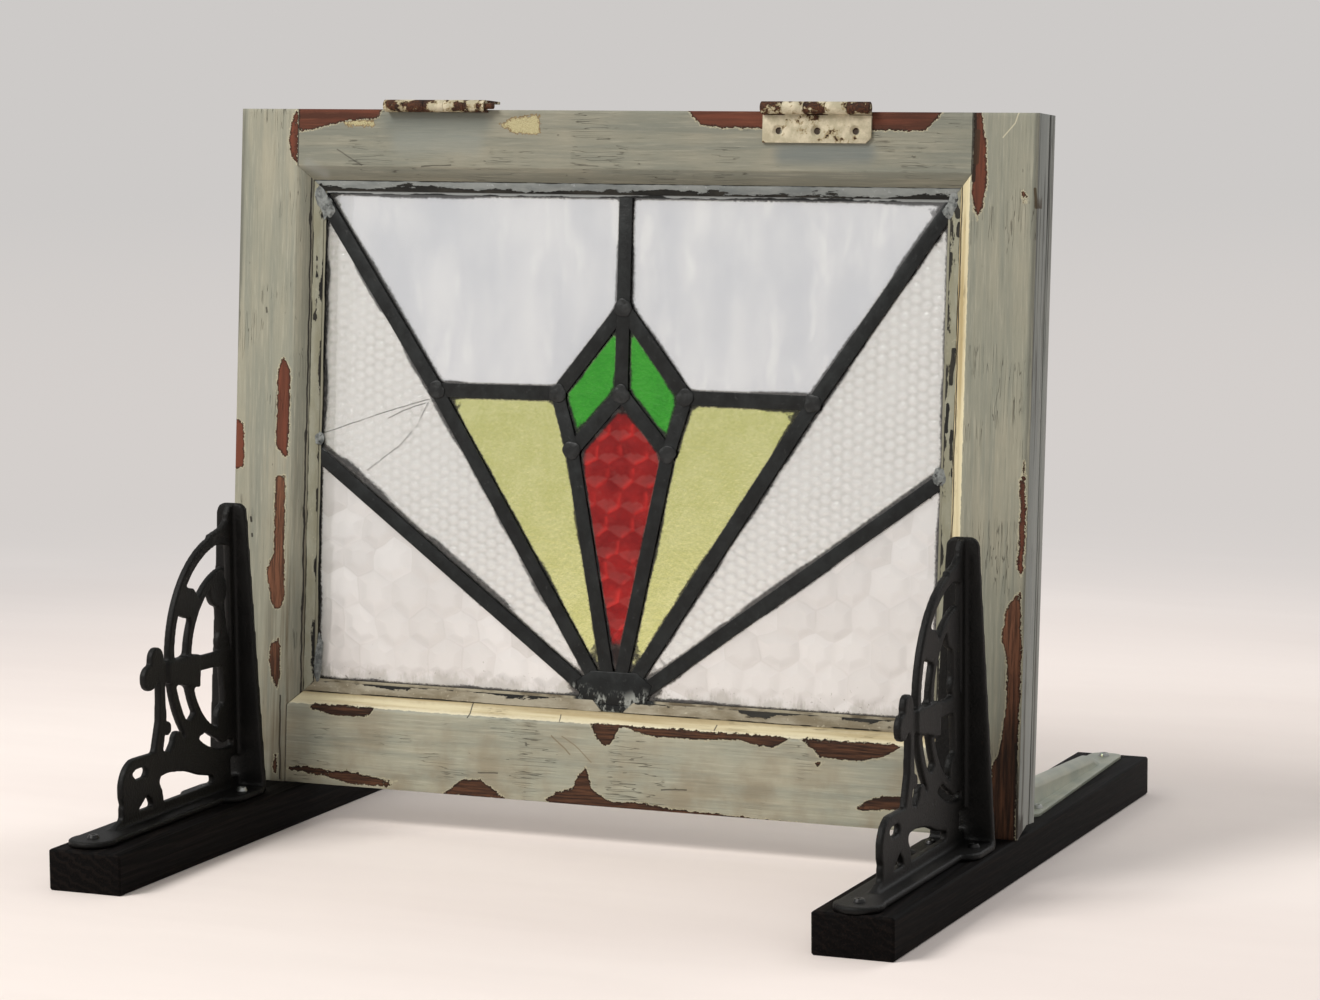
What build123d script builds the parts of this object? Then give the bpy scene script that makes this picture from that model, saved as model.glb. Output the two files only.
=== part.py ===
from build123d import *
import math
import os

# A leaded light in an old top-hung timber sash, standing on two timber feet between iron brackets.
# Millimetres. X runs across the sash, -Y is its front, +Z is up and the feet stand on Z = 0.
os.makedirs("parts", exist_ok=True)

# Feet: two short lengths of batten running front to back.
foot_width = 53.0
foot_height = 27.0
foot_length = 536.0
foot_arris = 1.2
foot_shift = {"left": -8.5, "right": 8.5}
foot_inset = {"left": 34.0, "right": 27.0}

# Sash: two full-height stiles with the rails tenoned between them, leaning back on its brackets.
sash_width = 580.0
sash_height = 468.0
sash_thickness = 34.0
sash_front = -26.5
lean = 4.85
stile_face = 44.0
top_rail_face = 39.0
bottom_rail_face = 54.0
splay_width = 9.5
splay_depth = 6.5
putty_width = 7.5
bevel_depth = 18.0
bevel_rise = 8.0
edge_groove_depth = 22.0
edge_groove_width = 2.0
edge_groove_cut = 2.0
tenon_length = 32.0
tenon_thickness = 11.0
tenon_front = 19.5
tenon_inset = 8.0
joint_clearance = 0.1

# Leaded panel: the came's front face lies panel_front behind the face of the sash.
panel_front = 9.0
panel_clearance = 0.3
flange_thickness = 1.2
glass_thickness = 3.0
channel_clearance = 0.1
came_face = 9.5
border_face = 9.0
heart_half = 1.2
putty_high = 6.9
putty_low = 8.4
solder_radius = 6.6
solder_height = 0.7
pattern_centre = -1.0
apex_height = 336.4
crown_height = 278.8
kite_half = 47.1
kite_drop = 1.4
waist_half = 35.2
waist_drop = 39.6
brow_inset = 93.2
brow_drop = 2.0
ray_top_height = 412.1
ray_side_height = 234.9
hub_height = 63.0
hub_foot_half = 24.0
hub_side_half = 28.0
hub_side_height = 83.0
hub_top_half = 17.0
hub_top_height = 91.0
hub_gap_half = 15.0

# Butt hinges on the top edge, their barrels proud of the front face.
hinge_spread = 138.5
hinge_length = 76.0
hinge_reach = 22.8
leaf_thickness = 1.8
barrel_radius = 4.1
pin_radius = 2.0
pin_clearance = 0.05
knuckle_count = 5
knuckle_gap = 0.3
leaf_stand_off = 0.3
pin_slip = 6.0
leaf_hole_radius = 2.3
leaf_sink_radius = 4.0
leaf_hole_reach = 15.0
leaf_hole_pitch = 27.0

# Cast-iron scroll brackets in front, each one casting: upright plate, base plate and pierced web.
bracket_inset = 28.0
cast_back = {"left": -61.5, "right": -51.5}
cast_height = 200.0
cast_length = 209.0
plate_thickness = 5.0
plate_foot_half = 22.0
plate_top_half = 10.5
base_thickness = 4.5
base_bar_half = 15.0
base_heel_half = 24.5
base_heel_length = 48.0
base_toe_radius = 16.0
web_thickness = 5.0
spine_front = 12.0
web_sill = 11.5
spine_low = 26.0
spine_high = 190.0
ring_centre = (17.0, 104.0)
ring_radius = 78.5
ring_limb = 7.5
inner_ring_centre = (12.0, 98.5)
inner_ring_radius = 60.5
inner_ring_limb = 7.0
collar_thickness = 9.0

# Pressed-steel brackets behind, with a swaged rib over the bend.
rear_gauge = 2.0
rear_reach = 245.0
rear_rise = 200.0
rear_heel_half = 18.5
rear_toe_half = 11.0
rear_neck_half = 12.0
rear_neck = 20.0
rear_corner = 8.0
rib_half = 6.4
rib_height = 17.0
rib_round = 5.0
rib_end = 28.0

# Screws: head radius, head height, shank radius and length, and how far they stand in from an end.
screw_edge = 11.0
screw_head = 4.0
screw_head_height = 2.2
screw_shank = 1.9
screw_length = 16.0
screw_clearance = 0.1
slot_width = 1.0
slot_depth = 0.9

# Planes of the sash: face lies on its front, x across and y up the slope; section looks along +X.
tilt = math.radians(lean)
up = (0, math.sin(tilt), math.cos(tilt))
sash_foot = (0, sash_front, foot_height)
face = Plane(origin=sash_foot, x_dir=(1, 0, 0), z_dir=(0, -math.cos(tilt), math.sin(tilt)))
section = Plane(origin=sash_foot, x_dir=(0, math.cos(tilt), -math.sin(tilt)), z_dir=(1, 0, 0))

# Places of the stand's screws, forward of a cast bracket's back and behind a rear bracket's face.
cast_heel_screw = (14.5, 22.5)
cast_toe_screw = cast_length - base_toe_radius
rear_heel_screw = (screw_edge, 44.0)
rear_toe_screw = rear_reach - screw_edge
rear_top_screw = rear_rise - screw_edge
pilot_radius = screw_shank + screw_clearance
hole_radius = screw_shank + 2 * screw_clearance

# Sizes that follow from the ones above.
foot_spread = {"left": foot_inset["left"] - sash_width / 2, "right": sash_width / 2 - foot_inset["right"]}
bracket_spread = sash_width / 2 - bracket_inset
kite_height = crown_height - kite_drop
brow_height = crown_height - brow_drop
waist_height = crown_height - waist_drop
arris_half = sash_width / 2 - stile_face
arris_low = bottom_rail_face
arris_high = sash_height - top_rail_face
rebate_half = arris_half - splay_width
rebate_low = arris_low + splay_width
rebate_high = arris_high - splay_width
sight_half = rebate_half - putty_width
sight_low = rebate_low + putty_width
sight_high = rebate_high - putty_width
came_thickness = 2 * flange_thickness + glass_thickness + 2 * channel_clearance
shoulder_depth = panel_front + came_thickness
glass_front = panel_front + flange_thickness + channel_clearance
border_half = rebate_half - panel_clearance
border_low = rebate_low + panel_clearance
border_high = rebate_high - panel_clearance
heart_x = border_half - border_face / 2
brow_half = heart_x - brow_inset
heart_low = border_low + border_face / 2
heart_high = border_high - border_face / 2
axis_height = sash_height - leaf_thickness + barrel_radius
axis_depth = -(barrel_radius + leaf_stand_off)
rear_front = sash_front + sash_thickness / math.cos(tilt) + rear_rise * math.tan(tilt)
foot_plane = Plane.XY.offset(foot_height)
top_edge = Plane(
    origin=(0, sash_front + sash_height * math.sin(tilt), foot_height + sash_height * math.cos(tilt)),
    x_dir=(1, 0, 0),
    z_dir=up,
)


def behind(depth):
    """The plane parallel to the sash's face, depth behind it."""
    return face.offset(-depth)


def keep(piece, name):
    """Labels a finished piece and writes it under its node name."""
    piece.part.label = name
    export_step(piece.part, f"parts/{name}.step")


def opening(half, low, high):
    """A rectangle of the sash's opening, between two heights up the slope."""
    with Locations((0, (low + high) / 2)):
        Rectangle(2 * half, high - low)


# The space that all four timbers are worked away for: the splay, then the rebate for the panel.
with BuildPart() as worked_away:
    with BuildSketch(face):
        opening(arris_half, arris_low, arris_high)
    with BuildSketch(behind(splay_depth)):
        opening(rebate_half, rebate_low, rebate_high)
    loft()
    with BuildSketch(behind(splay_depth)):
        opening(rebate_half, rebate_low, rebate_high)
    extrude(amount=-(shoulder_depth - splay_depth))

# The bevel under the sash, which once matched a sloping sill.
with BuildPart() as sill_bevel:
    with BuildSketch(section):
        Polygon(
            (0, 0),
            (bevel_depth, bevel_rise),
            (sash_thickness + 1, bevel_rise),
            (sash_thickness + 1, -1),
            (0, -1),
            align=None,
        )
    extrude(amount=sash_width, both=True)


def tenon(side, low, high, clearance, mode):
    """A rail's tenon, or with clearance its mortise, on the given side."""
    length = tenon_length + clearance
    with BuildSketch(behind(tenon_front - clearance)) as end:
        with Locations((side * (arris_half + length / 2), (low + high) / 2)):
            Rectangle(length, high - low + 2 * clearance)
    extrude(end.sketch, amount=-(tenon_thickness + 2 * clearance), mode=mode)


top_tenon = (arris_high + tenon_inset, sash_height - tenon_inset)
bottom_tenon = (bevel_rise + tenon_inset, arris_low - tenon_inset)

for side, name in ((-1, "left_stile"), (1, "right_stile")):
    outer = side * sash_width / 2
    arris = side * arris_half
    sight = side * sight_half
    with BuildPart() as stile:
        with BuildSketch(face):
            Polygon(
                (outer, 0),
                (outer, sash_height),
                (arris, sash_height),
                (arris, arris_high),
                (sight, sight_high),
                (sight, sight_low),
                (arris, arris_low),
                (arris, 0),
                align=None,
            )
        extrude(amount=-sash_thickness)
        add(worked_away.part, mode=Mode.SUBTRACT)
        add(sill_bevel.part, mode=Mode.SUBTRACT)
        tenon(side, *top_tenon, joint_clearance, Mode.SUBTRACT)
        tenon(side, *bottom_tenon, joint_clearance, Mode.SUBTRACT)
        with BuildSketch(behind(edge_groove_depth)):
            with Locations((outer, sash_height / 2)):
                Rectangle(2 * edge_groove_cut, sash_height + 2)
        extrude(amount=-edge_groove_width, mode=Mode.SUBTRACT)
        # Pilot hole for the screw through the top of the rear bracket.
        with BuildSketch(Plane.XZ.offset(-rear_front)):
            with Locations((side * bracket_spread, foot_height + rear_top_screw)):
                Circle(pilot_radius)
        extrude(amount=screw_length, mode=Mode.SUBTRACT)
    keep(stile, name)

with BuildPart() as bottom_rail:
    with BuildSketch(face):
        Polygon(
            (-arris_half, 0),
            (arris_half, 0),
            (arris_half, arris_low),
            (sight_half, sight_low),
            (-sight_half, sight_low),
            (-arris_half, arris_low),
            align=None,
        )
    extrude(amount=-sash_thickness)
    add(worked_away.part, mode=Mode.SUBTRACT)
    add(sill_bevel.part, mode=Mode.SUBTRACT)
    for side in (-1, 1):
        tenon(side, *bottom_tenon, 0, Mode.ADD)
keep(bottom_rail, "bottom_rail")

with BuildPart() as top_rail:
    with BuildSketch(face):
        Polygon(
            (-arris_half, sash_height),
            (arris_half, sash_height),
            (arris_half, arris_high),
            (sight_half, sight_high),
            (-sight_half, sight_high),
            (-arris_half, arris_high),
            align=None,
        )
    extrude(amount=-sash_thickness)
    add(worked_away.part, mode=Mode.SUBTRACT)
    for side in (-1, 1):
        tenon(side, *top_tenon, 0, Mode.ADD)
    # Recesses for the fixed leaves of the hinges.
    recess_back = axis_depth + hinge_reach + joint_clearance
    recess_half = hinge_length / 2 + joint_clearance
    for side in (-1, 1):
        with BuildSketch(section.offset(side * hinge_spread - recess_half)):
            with Locations((recess_back / 2, sash_height)):
                Rectangle(recess_back, 2 * leaf_thickness)
        extrude(amount=2 * recess_half, mode=Mode.SUBTRACT)
    # Pilot holes for the screws of those leaves.
    for side in (-1, 1):
        for step in (-1, 0, 1):
            x = side * hinge_spread + step * leaf_hole_pitch
            with BuildSketch(top_edge):
                with Locations((x, axis_depth + leaf_hole_reach)):
                    Circle(screw_shank + screw_clearance)
            extrude(amount=-screw_length, mode=Mode.SUBTRACT)
keep(top_rail, "top_rail")

# Putty: a shallow wedge from the foot of the splay down to the face of the border came.
with BuildPart() as putty_hollow:
    with BuildSketch(behind(putty_high)):
        opening(rebate_half, rebate_low, rebate_high)
    with BuildSketch(behind(putty_low)):
        opening(sight_half, sight_low, sight_high)
    loft()

hub_gap_foot = hub_gap_half - putty_width
putty_outlines = {
    "top_putty": [
        [
            (-rebate_half, rebate_high),
            (rebate_half, rebate_high),
            (sight_half, sight_high),
            (-sight_half, sight_high),
        ]
    ],
    "side_putty": [
        [
            (side * rebate_half, rebate_low),
            (side * rebate_half, rebate_high),
            (side * sight_half, sight_high),
            (side * sight_half, sight_low),
        ]
        for side in (-1, 1)
    ],
    "bottom_putty": [
        [
            (side * rebate_half, rebate_low),
            (side * sight_half, sight_low),
            (side * hub_gap_half + pattern_centre, sight_low),
            (side * hub_gap_foot + pattern_centre, rebate_low),
        ]
        for side in (-1, 1)
    ],
}
for name, outlines in putty_outlines.items():
    with BuildPart() as putty:
        for outline in outlines:
            with BuildSketch(behind(putty_high)):
                Polygon(*outline, align=None)
            extrude(amount=-(panel_front - putty_high))
        add(putty_hollow.part, mode=Mode.SUBTRACT)
    keep(putty, name)

# Panes: each region between the came centre lines, less the heart that it stops against.
apex = (0, apex_height)
crown = (0, crown_height)
top_middle = (0, heart_high)
hub = (0, hub_height)
hub_outline = [
    (-hub_foot_half, heart_low),
    (hub_foot_half, heart_low),
    (hub_side_half, hub_side_height),
    (hub_top_half, hub_top_height),
    (-hub_top_half, hub_top_height),
    (-hub_side_half, hub_side_height),
]


def mirrored(points, side):
    """Points of the pattern, on its left or right, about the pattern's own centre line."""
    return [(side * x + pattern_centre, y) for x, y in points]


pane_outlines = {}
for side, hand in ((-1, "left"), (1, "right")):
    edge = heart_x - side * pattern_centre
    kite = (kite_half, kite_height)
    waist = (waist_half, waist_height)
    brow = (brow_half, brow_height)
    ray_top = (edge, ray_top_height)
    ray_side = (edge, ray_side_height)
    low_meet = (edge * (heart_low - hub_height) / (ray_side_height - hub_height), heart_low)
    regions = {
        "upper_pane": [top_middle, (edge, heart_high), ray_top, brow, kite, apex],
        "side_pane": [ray_top, ray_side, hub, brow],
        "amber_pane": [brow, hub, waist, kite],
        "green_pane": [apex, kite, waist, crown],
        "lower_pane": [ray_side, (edge, heart_low), low_meet],
    }
    for name, region in regions.items():
        pane_outlines[f"{hand}_{name}"] = mirrored(region, side)
pane_outlines["red_pane"] = [
    (pattern_centre, crown_height),
    (pattern_centre + waist_half, waist_height),
    (pattern_centre, hub_height),
    (pattern_centre - waist_half, waist_height),
]


def pane_shape(outline, gap):
    """A pane's outline, gap short of the heart of the came around it and clear of the hub."""
    with BuildSketch(Plane.XY) as shape:
        Polygon(*outline, align=None)
        offset(amount=-(heart_half + gap), kind=Kind.INTERSECTION, mode=Mode.REPLACE)
        with BuildSketch(mode=Mode.PRIVATE) as hub_shape:
            Polygon(*mirrored(hub_outline, 1), align=None)
            offset(amount=channel_clearance + gap, kind=Kind.INTERSECTION, mode=Mode.REPLACE)
        add(hub_shape.sketch, mode=Mode.SUBTRACT)
    return shape.sketch


for name, outline in pane_outlines.items():
    with BuildPart() as pane:
        with BuildSketch(behind(glass_front)):
            add(pane_shape(outline, channel_clearance))
        extrude(amount=-glass_thickness)
    keep(pane, name)

# The space that the panes take out of the cames, with clearance at their faces.
with BuildPart() as channels:
    for outline in pane_outlines.values():
        with BuildSketch(behind(glass_front - channel_clearance)):
            add(pane_shape(outline, 0))
        extrude(amount=-(glass_thickness + 2 * channel_clearance))


def ribbon(points, width):
    """The outline of a strip of lead along a line of two or three points, mitred at a bend."""
    left, right = [], []
    for i, point in enumerate(points):
        before = Vector(*point) - Vector(*points[i - 1]) if i > 0 else None
        after = Vector(*points[i + 1]) - Vector(*point) if i < len(points) - 1 else None
        ways = [way.normalized() for way in (before, after) if way is not None]
        along = sum(ways[1:], ways[0]).normalized()
        across = Vector(-along.Y, along.X)
        reach = width / 2 / along.dot(ways[0])
        left.append((point[0] + across.X * reach, point[1] + across.Y * reach))
        right.append((point[0] - across.X * reach, point[1] - across.Y * reach))
    return left + right[::-1]


# Lines of the cames, each for the right half; those after a name stop against the ones in its list.
edge_in = border_half
came_lines = {
    "centre_came": [top_middle, (0, crown_height - came_face / 3)],
    "diagonal_cames": [(edge_in, ray_top_height + (edge_in - heart_x)), brow, hub],
    "petal_cames": [(kite_half + 1.5, kite_height + 4.8), waist, hub],
    "crown_cames": [apex, kite],
    "cross_cames": [kite, brow],
    "brow_cames": [crown, waist],
    "ray_cames": [(edge_in, ray_side_height), hub],
}
came_stops = {
    "centre_came": [],
    "diagonal_cames": [],
    "petal_cames": [],
    "crown_cames": ["centre_came", "petal_cames"],
    "cross_cames": ["petal_cames", "diagonal_cames", "crown_cames"],
    "brow_cames": ["centre_came", "petal_cames"],
    "ray_cames": ["diagonal_cames"],
}
border_in = border_half - border_face


def came_shape(name):
    """A came's outline on both sides, cut back to the border, the hub and the cames it meets."""
    with BuildSketch(Plane.XY) as shape:
        for side in (-1, 1):
            Polygon(*mirrored(ribbon(came_lines[name], came_face), side), align=None)
        for stop in came_stops[name]:
            for side in (-1, 1):
                Polygon(*mirrored(ribbon(came_lines[stop], came_face), side), align=None, mode=Mode.SUBTRACT)
        with Locations((0, (border_low + border_high) / 2)):
            Rectangle(2 * border_in, border_high - border_low - 2 * border_face, mode=Mode.INTERSECT)
        Polygon(*mirrored(hub_outline, 1), align=None, mode=Mode.SUBTRACT)
    return shape.sketch


for name in came_lines:
    with BuildPart() as came:
        with BuildSketch(behind(panel_front)):
            add(came_shape(name))
        extrude(amount=-came_thickness)
        add(channels.part, mode=Mode.SUBTRACT)
    keep(came, name)

# Border cames: the upright pair runs full height, the other pair butts between.
with BuildPart() as side_border_cames:
    for side in (-1, 1):
        with BuildSketch(behind(panel_front)):
            with Locations((side * heart_x, (border_low + border_high) / 2)):
                Rectangle(border_face, border_high - border_low)
        extrude(amount=-came_thickness)
    add(channels.part, mode=Mode.SUBTRACT)
keep(side_border_cames, "side_border_cames")

with BuildPart() as level_border_cames:
    for height in (heart_low, heart_high):
        with BuildSketch(behind(panel_front)):
            with Locations((0, height)):
                Rectangle(2 * border_in, border_face)
            Polygon(*mirrored(hub_outline, 1), align=None, mode=Mode.SUBTRACT)
        extrude(amount=-came_thickness)
    add(channels.part, mode=Mode.SUBTRACT)
keep(level_border_cames, "level_border_cames")

# The hub, a flat mass of lead and solder where the rays meet.
with BuildPart() as hub_plate:
    with BuildSketch(behind(panel_front)):
        Polygon(*mirrored(hub_outline, 1), align=None)
    extrude(amount=-came_thickness)
keep(hub_plate, "hub_plate")

# Solder joints, front and back, over each meeting of cames.
joint_points = [apex, crown]
for point in (kite, waist, brow):
    joint_points += [point, (-point[0], point[1])]
with BuildPart() as solder_joints:
    for x, y in joint_points:
        for depth, way in ((panel_front, 1), (panel_front + came_thickness, -1)):
            with BuildSketch(behind(depth)):
                with Locations((x + pattern_centre, y)):
                    Circle(solder_radius)
            extrude(amount=way * solder_height, taper=30)
keep(solder_joints, "solder_joints")

# Butt hinges: the fixed leaf is let into the top edge and the free leaf turns about the pin.
knuckle = hinge_length / knuckle_count
sheet_start = barrel_radius + 0.6
leaf_inner = barrel_radius - leaf_thickness


def patch(low, high):
    """A rectangle between two corners."""
    with Locations(((low[0] + high[0]) / 2, (low[1] + high[1]) / 2)):
        Rectangle(high[0] - low[0], high[1] - low[1])


def knuckles(middle, first):
    """Every other knuckle of the barrel, from the first one on."""
    for i in range(first, knuckle_count, 2):
        start = middle - hinge_length / 2 + i * knuckle + knuckle_gap / 2
        with BuildSketch(section.offset(start)) as ring:
            with Locations((axis_depth, axis_height)):
                Circle(barrel_radius)
                Circle(pin_radius + pin_clearance, mode=Mode.SUBTRACT)
        extrude(ring.sketch, amount=knuckle - knuckle_gap)


def leaf_sheet(middle, first, tongue, sheet):
    """A leaf's flat sheet over the hinge's length, with a tongue into each of its knuckles."""
    with BuildSketch(section.offset(middle - hinge_length / 2)) as flat:
        patch(*sheet)
    extrude(flat.sketch, amount=hinge_length)
    for i in range(first, knuckle_count, 2):
        start = middle - hinge_length / 2 + i * knuckle + knuckle_gap / 2
        with BuildSketch(section.offset(start)) as strap:
            patch(*tongue)
        extrude(strap.sketch, amount=knuckle - knuckle_gap)


def leaf_holes(plane, middle, reach, way):
    """Three countersunk holes; way is the direction from the sunk face into the leaf."""
    for step in (-1, 0, 1):
        with BuildSketch(plane) as sink:
            with Locations((middle + step * leaf_hole_pitch, reach)):
                Circle(leaf_sink_radius)
        extrude(sink.sketch, amount=way * (leaf_sink_radius - leaf_hole_radius), taper=45, mode=Mode.SUBTRACT)
        with BuildSketch(plane) as bore:
            with Locations((middle + step * leaf_hole_pitch, reach)):
                Circle(leaf_hole_radius)
        extrude(bore.sketch, amount=way * 2 * leaf_thickness, mode=Mode.SUBTRACT)


leaf_low = axis_height - barrel_radius
leaf_over = axis_height + leaf_inner
leaf_end = axis_depth + hinge_reach
for side, hand in ((-1, "left"), (1, "right")):
    middle = side * hinge_spread
    with BuildPart() as fixed_leaf:
        knuckles(middle, 0)
        leaf_sheet(
            middle,
            0,
            ((axis_depth, leaf_low), (axis_depth + sheet_start, leaf_low + leaf_thickness)),
            ((axis_depth + sheet_start, leaf_low), (leaf_end, leaf_low + leaf_thickness)),
        )
        leaf_holes(top_edge, middle, axis_depth + leaf_hole_reach, -1)
    keep(fixed_leaf, f"{hand}_hinge_fixed_leaf")

# The left free leaf lies folded back over the top edge.
with BuildPart() as left_free_leaf:
    knuckles(-hinge_spread, 1)
    leaf_sheet(
        -hinge_spread,
        1,
        ((axis_depth, leaf_over), (axis_depth + sheet_start, leaf_over + leaf_thickness)),
        ((axis_depth + sheet_start, leaf_over), (leaf_end, leaf_over + leaf_thickness)),
    )
    leaf_holes(top_edge.offset(leaf_over - sash_height), -hinge_spread, axis_depth + leaf_hole_reach, 1)
keep(left_free_leaf, "left_hinge_free_leaf")

# The right free leaf hangs over the rail, with its lower outer corner broken off.
leaf_near = axis_depth + leaf_inner
leaf_foot = axis_height - hinge_reach
chip_across = 4.0
chip_up = 3.5
with BuildPart() as right_free_leaf:
    knuckles(hinge_spread, 1)
    leaf_sheet(
        hinge_spread,
        1,
        ((leaf_near, axis_height - sheet_start), (leaf_near + leaf_thickness, axis_height)),
        ((leaf_near, leaf_foot), (leaf_near + leaf_thickness, axis_height - sheet_start)),
    )
    leaf_holes(behind(leaf_near), hinge_spread, axis_height - leaf_hole_reach, -1)
    with BuildSketch(behind(leaf_near)):
        Polygon(
            (hinge_spread + hinge_length / 2, leaf_foot),
            (hinge_spread + hinge_length / 2, leaf_foot + chip_up),
            (hinge_spread + hinge_length / 2 - chip_across, leaf_foot),
            align=None,
        )
    extrude(amount=-leaf_thickness, mode=Mode.SUBTRACT)
keep(right_free_leaf, "right_hinge_free_leaf")

for side, hand, slip in ((-1, "left", pin_slip), (1, "right", 0)):
    with BuildPart() as hinge_pin:
        with BuildSketch(section.offset(side * hinge_spread - hinge_length / 2 + slip)):
            with Locations((axis_depth, axis_height)):
                Circle(pin_radius)
        extrude(amount=hinge_length)
    keep(hinge_pin, f"{hand}_hinge_pin")

with BuildPart() as hinge_screws:
    for side in (-1, 1):
        for step in (-1, 0, 1):
            x = side * hinge_spread + step * leaf_hole_pitch
            with BuildSketch(top_edge):
                with Locations((x, axis_depth + leaf_hole_reach)):
                    Circle(leaf_sink_radius - screw_clearance)
            extrude(amount=-leaf_thickness, taper=45)
            with BuildSketch(top_edge):
                with Locations((x, axis_depth + leaf_hole_reach)):
                    Circle(screw_shank)
            extrude(amount=-screw_length)
            with BuildSketch(top_edge):
                with Locations((x, axis_depth + leaf_hole_reach)):
                    Rectangle(2 * screw_head, slot_width)
            extrude(amount=-slot_depth, mode=Mode.SUBTRACT)
keep(hinge_screws, "hinge_screws")


def stand_screw_places(hand):
    """The upright screws of one side, as x, y and the height of the iron that each head seats on."""
    x = bracket_spread * (-1 if hand == "left" else 1)
    back = cast_back[hand]
    cast_top = foot_height + base_thickness
    rear_top = foot_height + rear_gauge
    return [
        (x - cast_heel_screw[0], back - cast_heel_screw[1], cast_top),
        (x + cast_heel_screw[0], back - cast_heel_screw[1], cast_top),
        (x, back - cast_toe_screw, cast_top),
        (x - rear_heel_screw[0], rear_front + rear_heel_screw[1], rear_top),
        (x + rear_heel_screw[0], rear_front + rear_heel_screw[1], rear_top),
        (x, rear_front + rear_toe_screw, rear_top),
    ]


for hand in ("left", "right"):
    x = foot_spread[hand]
    with BuildPart() as foot:
        with BuildSketch(Plane.XY):
            with Locations((x, foot_shift[hand])):
                Rectangle(foot_width, foot_length)
        extrude(amount=foot_height)
        chamfer(foot.edges(), length=foot_arris)
        for sx, sy, seat in stand_screw_places(hand):
            with BuildSketch(foot_plane):
                with Locations((sx, sy)):
                    Circle(pilot_radius)
            extrude(amount=-(screw_length - (seat - foot_height) + 1), mode=Mode.SUBTRACT)
    keep(foot, f"{hand}_foot")

# Outlines of the scroll web, as distance forward of the bracket's back and height over the foot.
top_nub = [
    (5, 199),
    (9, 198.5),
    (13, 193),
    (13, 189.5),
    (21, 185),
    (36, 182),
    (38, 176),
    (12, 172),
    (5, 172),
]
sill = [
    (5, 0),
    (5, web_sill),
    (153, web_sill),
    (153, 18.5),
    (158.5, 17.5),
    (158.5, 10),
    (166, 7),
    (172, 4),
    (172, 0),
]
heel_block = [(15.5, 8), (15.5, 30), (30, 31), (45, 37), (45, 22), (39.5, 17), (39.5, 8)]
leaf_limb = [
    (38, 16.5),
    (38, 31),
    (57, 36),
    (66, 40),
    (73, 48),
    (79, 51),
    (85, 54),
    (91, 50),
    (97, 44),
    (106, 46.5),
    (117, 46.5),
    (118, 30),
    (109, 29),
    (100, 30),
    (87.6, 28.7),
    (75, 26.5),
    (66.5, 23.9),
    (57, 20.6),
]
leg = [(100, 100), (109, 100), (108.5, 86), (109.6, 67), (117, 45), (106, 43), (100, 65), (100.5, 86)]
leg_foot = [
    (104.5, 8),
    (106.4, 14),
    (107.3, 20),
    (111, 25.4),
    (111, 32),
    (124, 32),
    (125, 21),
    (121, 14),
    (119, 8),
]
scroll_limb = [(106, 45), (117, 46.8), (137.5, 47.4), (130, 38), (118, 28), (110, 28)]
scroll_centre = (140.0, 28.0)
scroll_radius = 19.5
scroll_hole = [(146.5, 37.8), (140, 39.8), (131, 40), (125.5, 37.3), (128.5, 33), (140, 32.5)]
scroll_gap = [(126.5, 20.5), (119, web_sill), (140, web_sill)]
collar = [(55.5, 103.8), (98.5, 105), (98.5, 90.5), (56.5, 81)]
knob_parts = [((110, 108.5), 8.0), ((119, 97), 8.5), ((104, 98), 8.0)]
high_leaf = [(74, 152), (60, 149), (54, 142), (63, 129), (70, 130), (82, 134), (85, 142)]
low_leaf = [(78, 64), (68, 60), (60, 66), (51, 57), (46, 49), (58, 46.5), (65, 46), (75, 50)]
bulbs = [((27, 143.3), 11.5), ((22.6, 46.5), 9.5), ((23, 54.5), 9.5)]
berries = [((98.5, 60.2), 4.8), ((85, 50), 6.0)]
stem = [
    (27.5, 137),
    (20.3, 137),
    (15.6, 110),
    (13, 95),
    (10, 80),
    (10, 52),
    (22.8, 52),
    (23.2, 76),
    (26, 104),
]
stem_leaf = [((21.7, 107.5), 7.5)]
cross_bar = [(5, 89.5), (5, 100.5), (58, 102), (58, 92)]
web_outlines = (
    top_nub,
    sill,
    heel_block,
    leaf_limb,
    leg,
    leg_foot,
    scroll_limb,
    high_leaf,
    low_leaf,
    stem,
    cross_bar,
)

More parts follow.
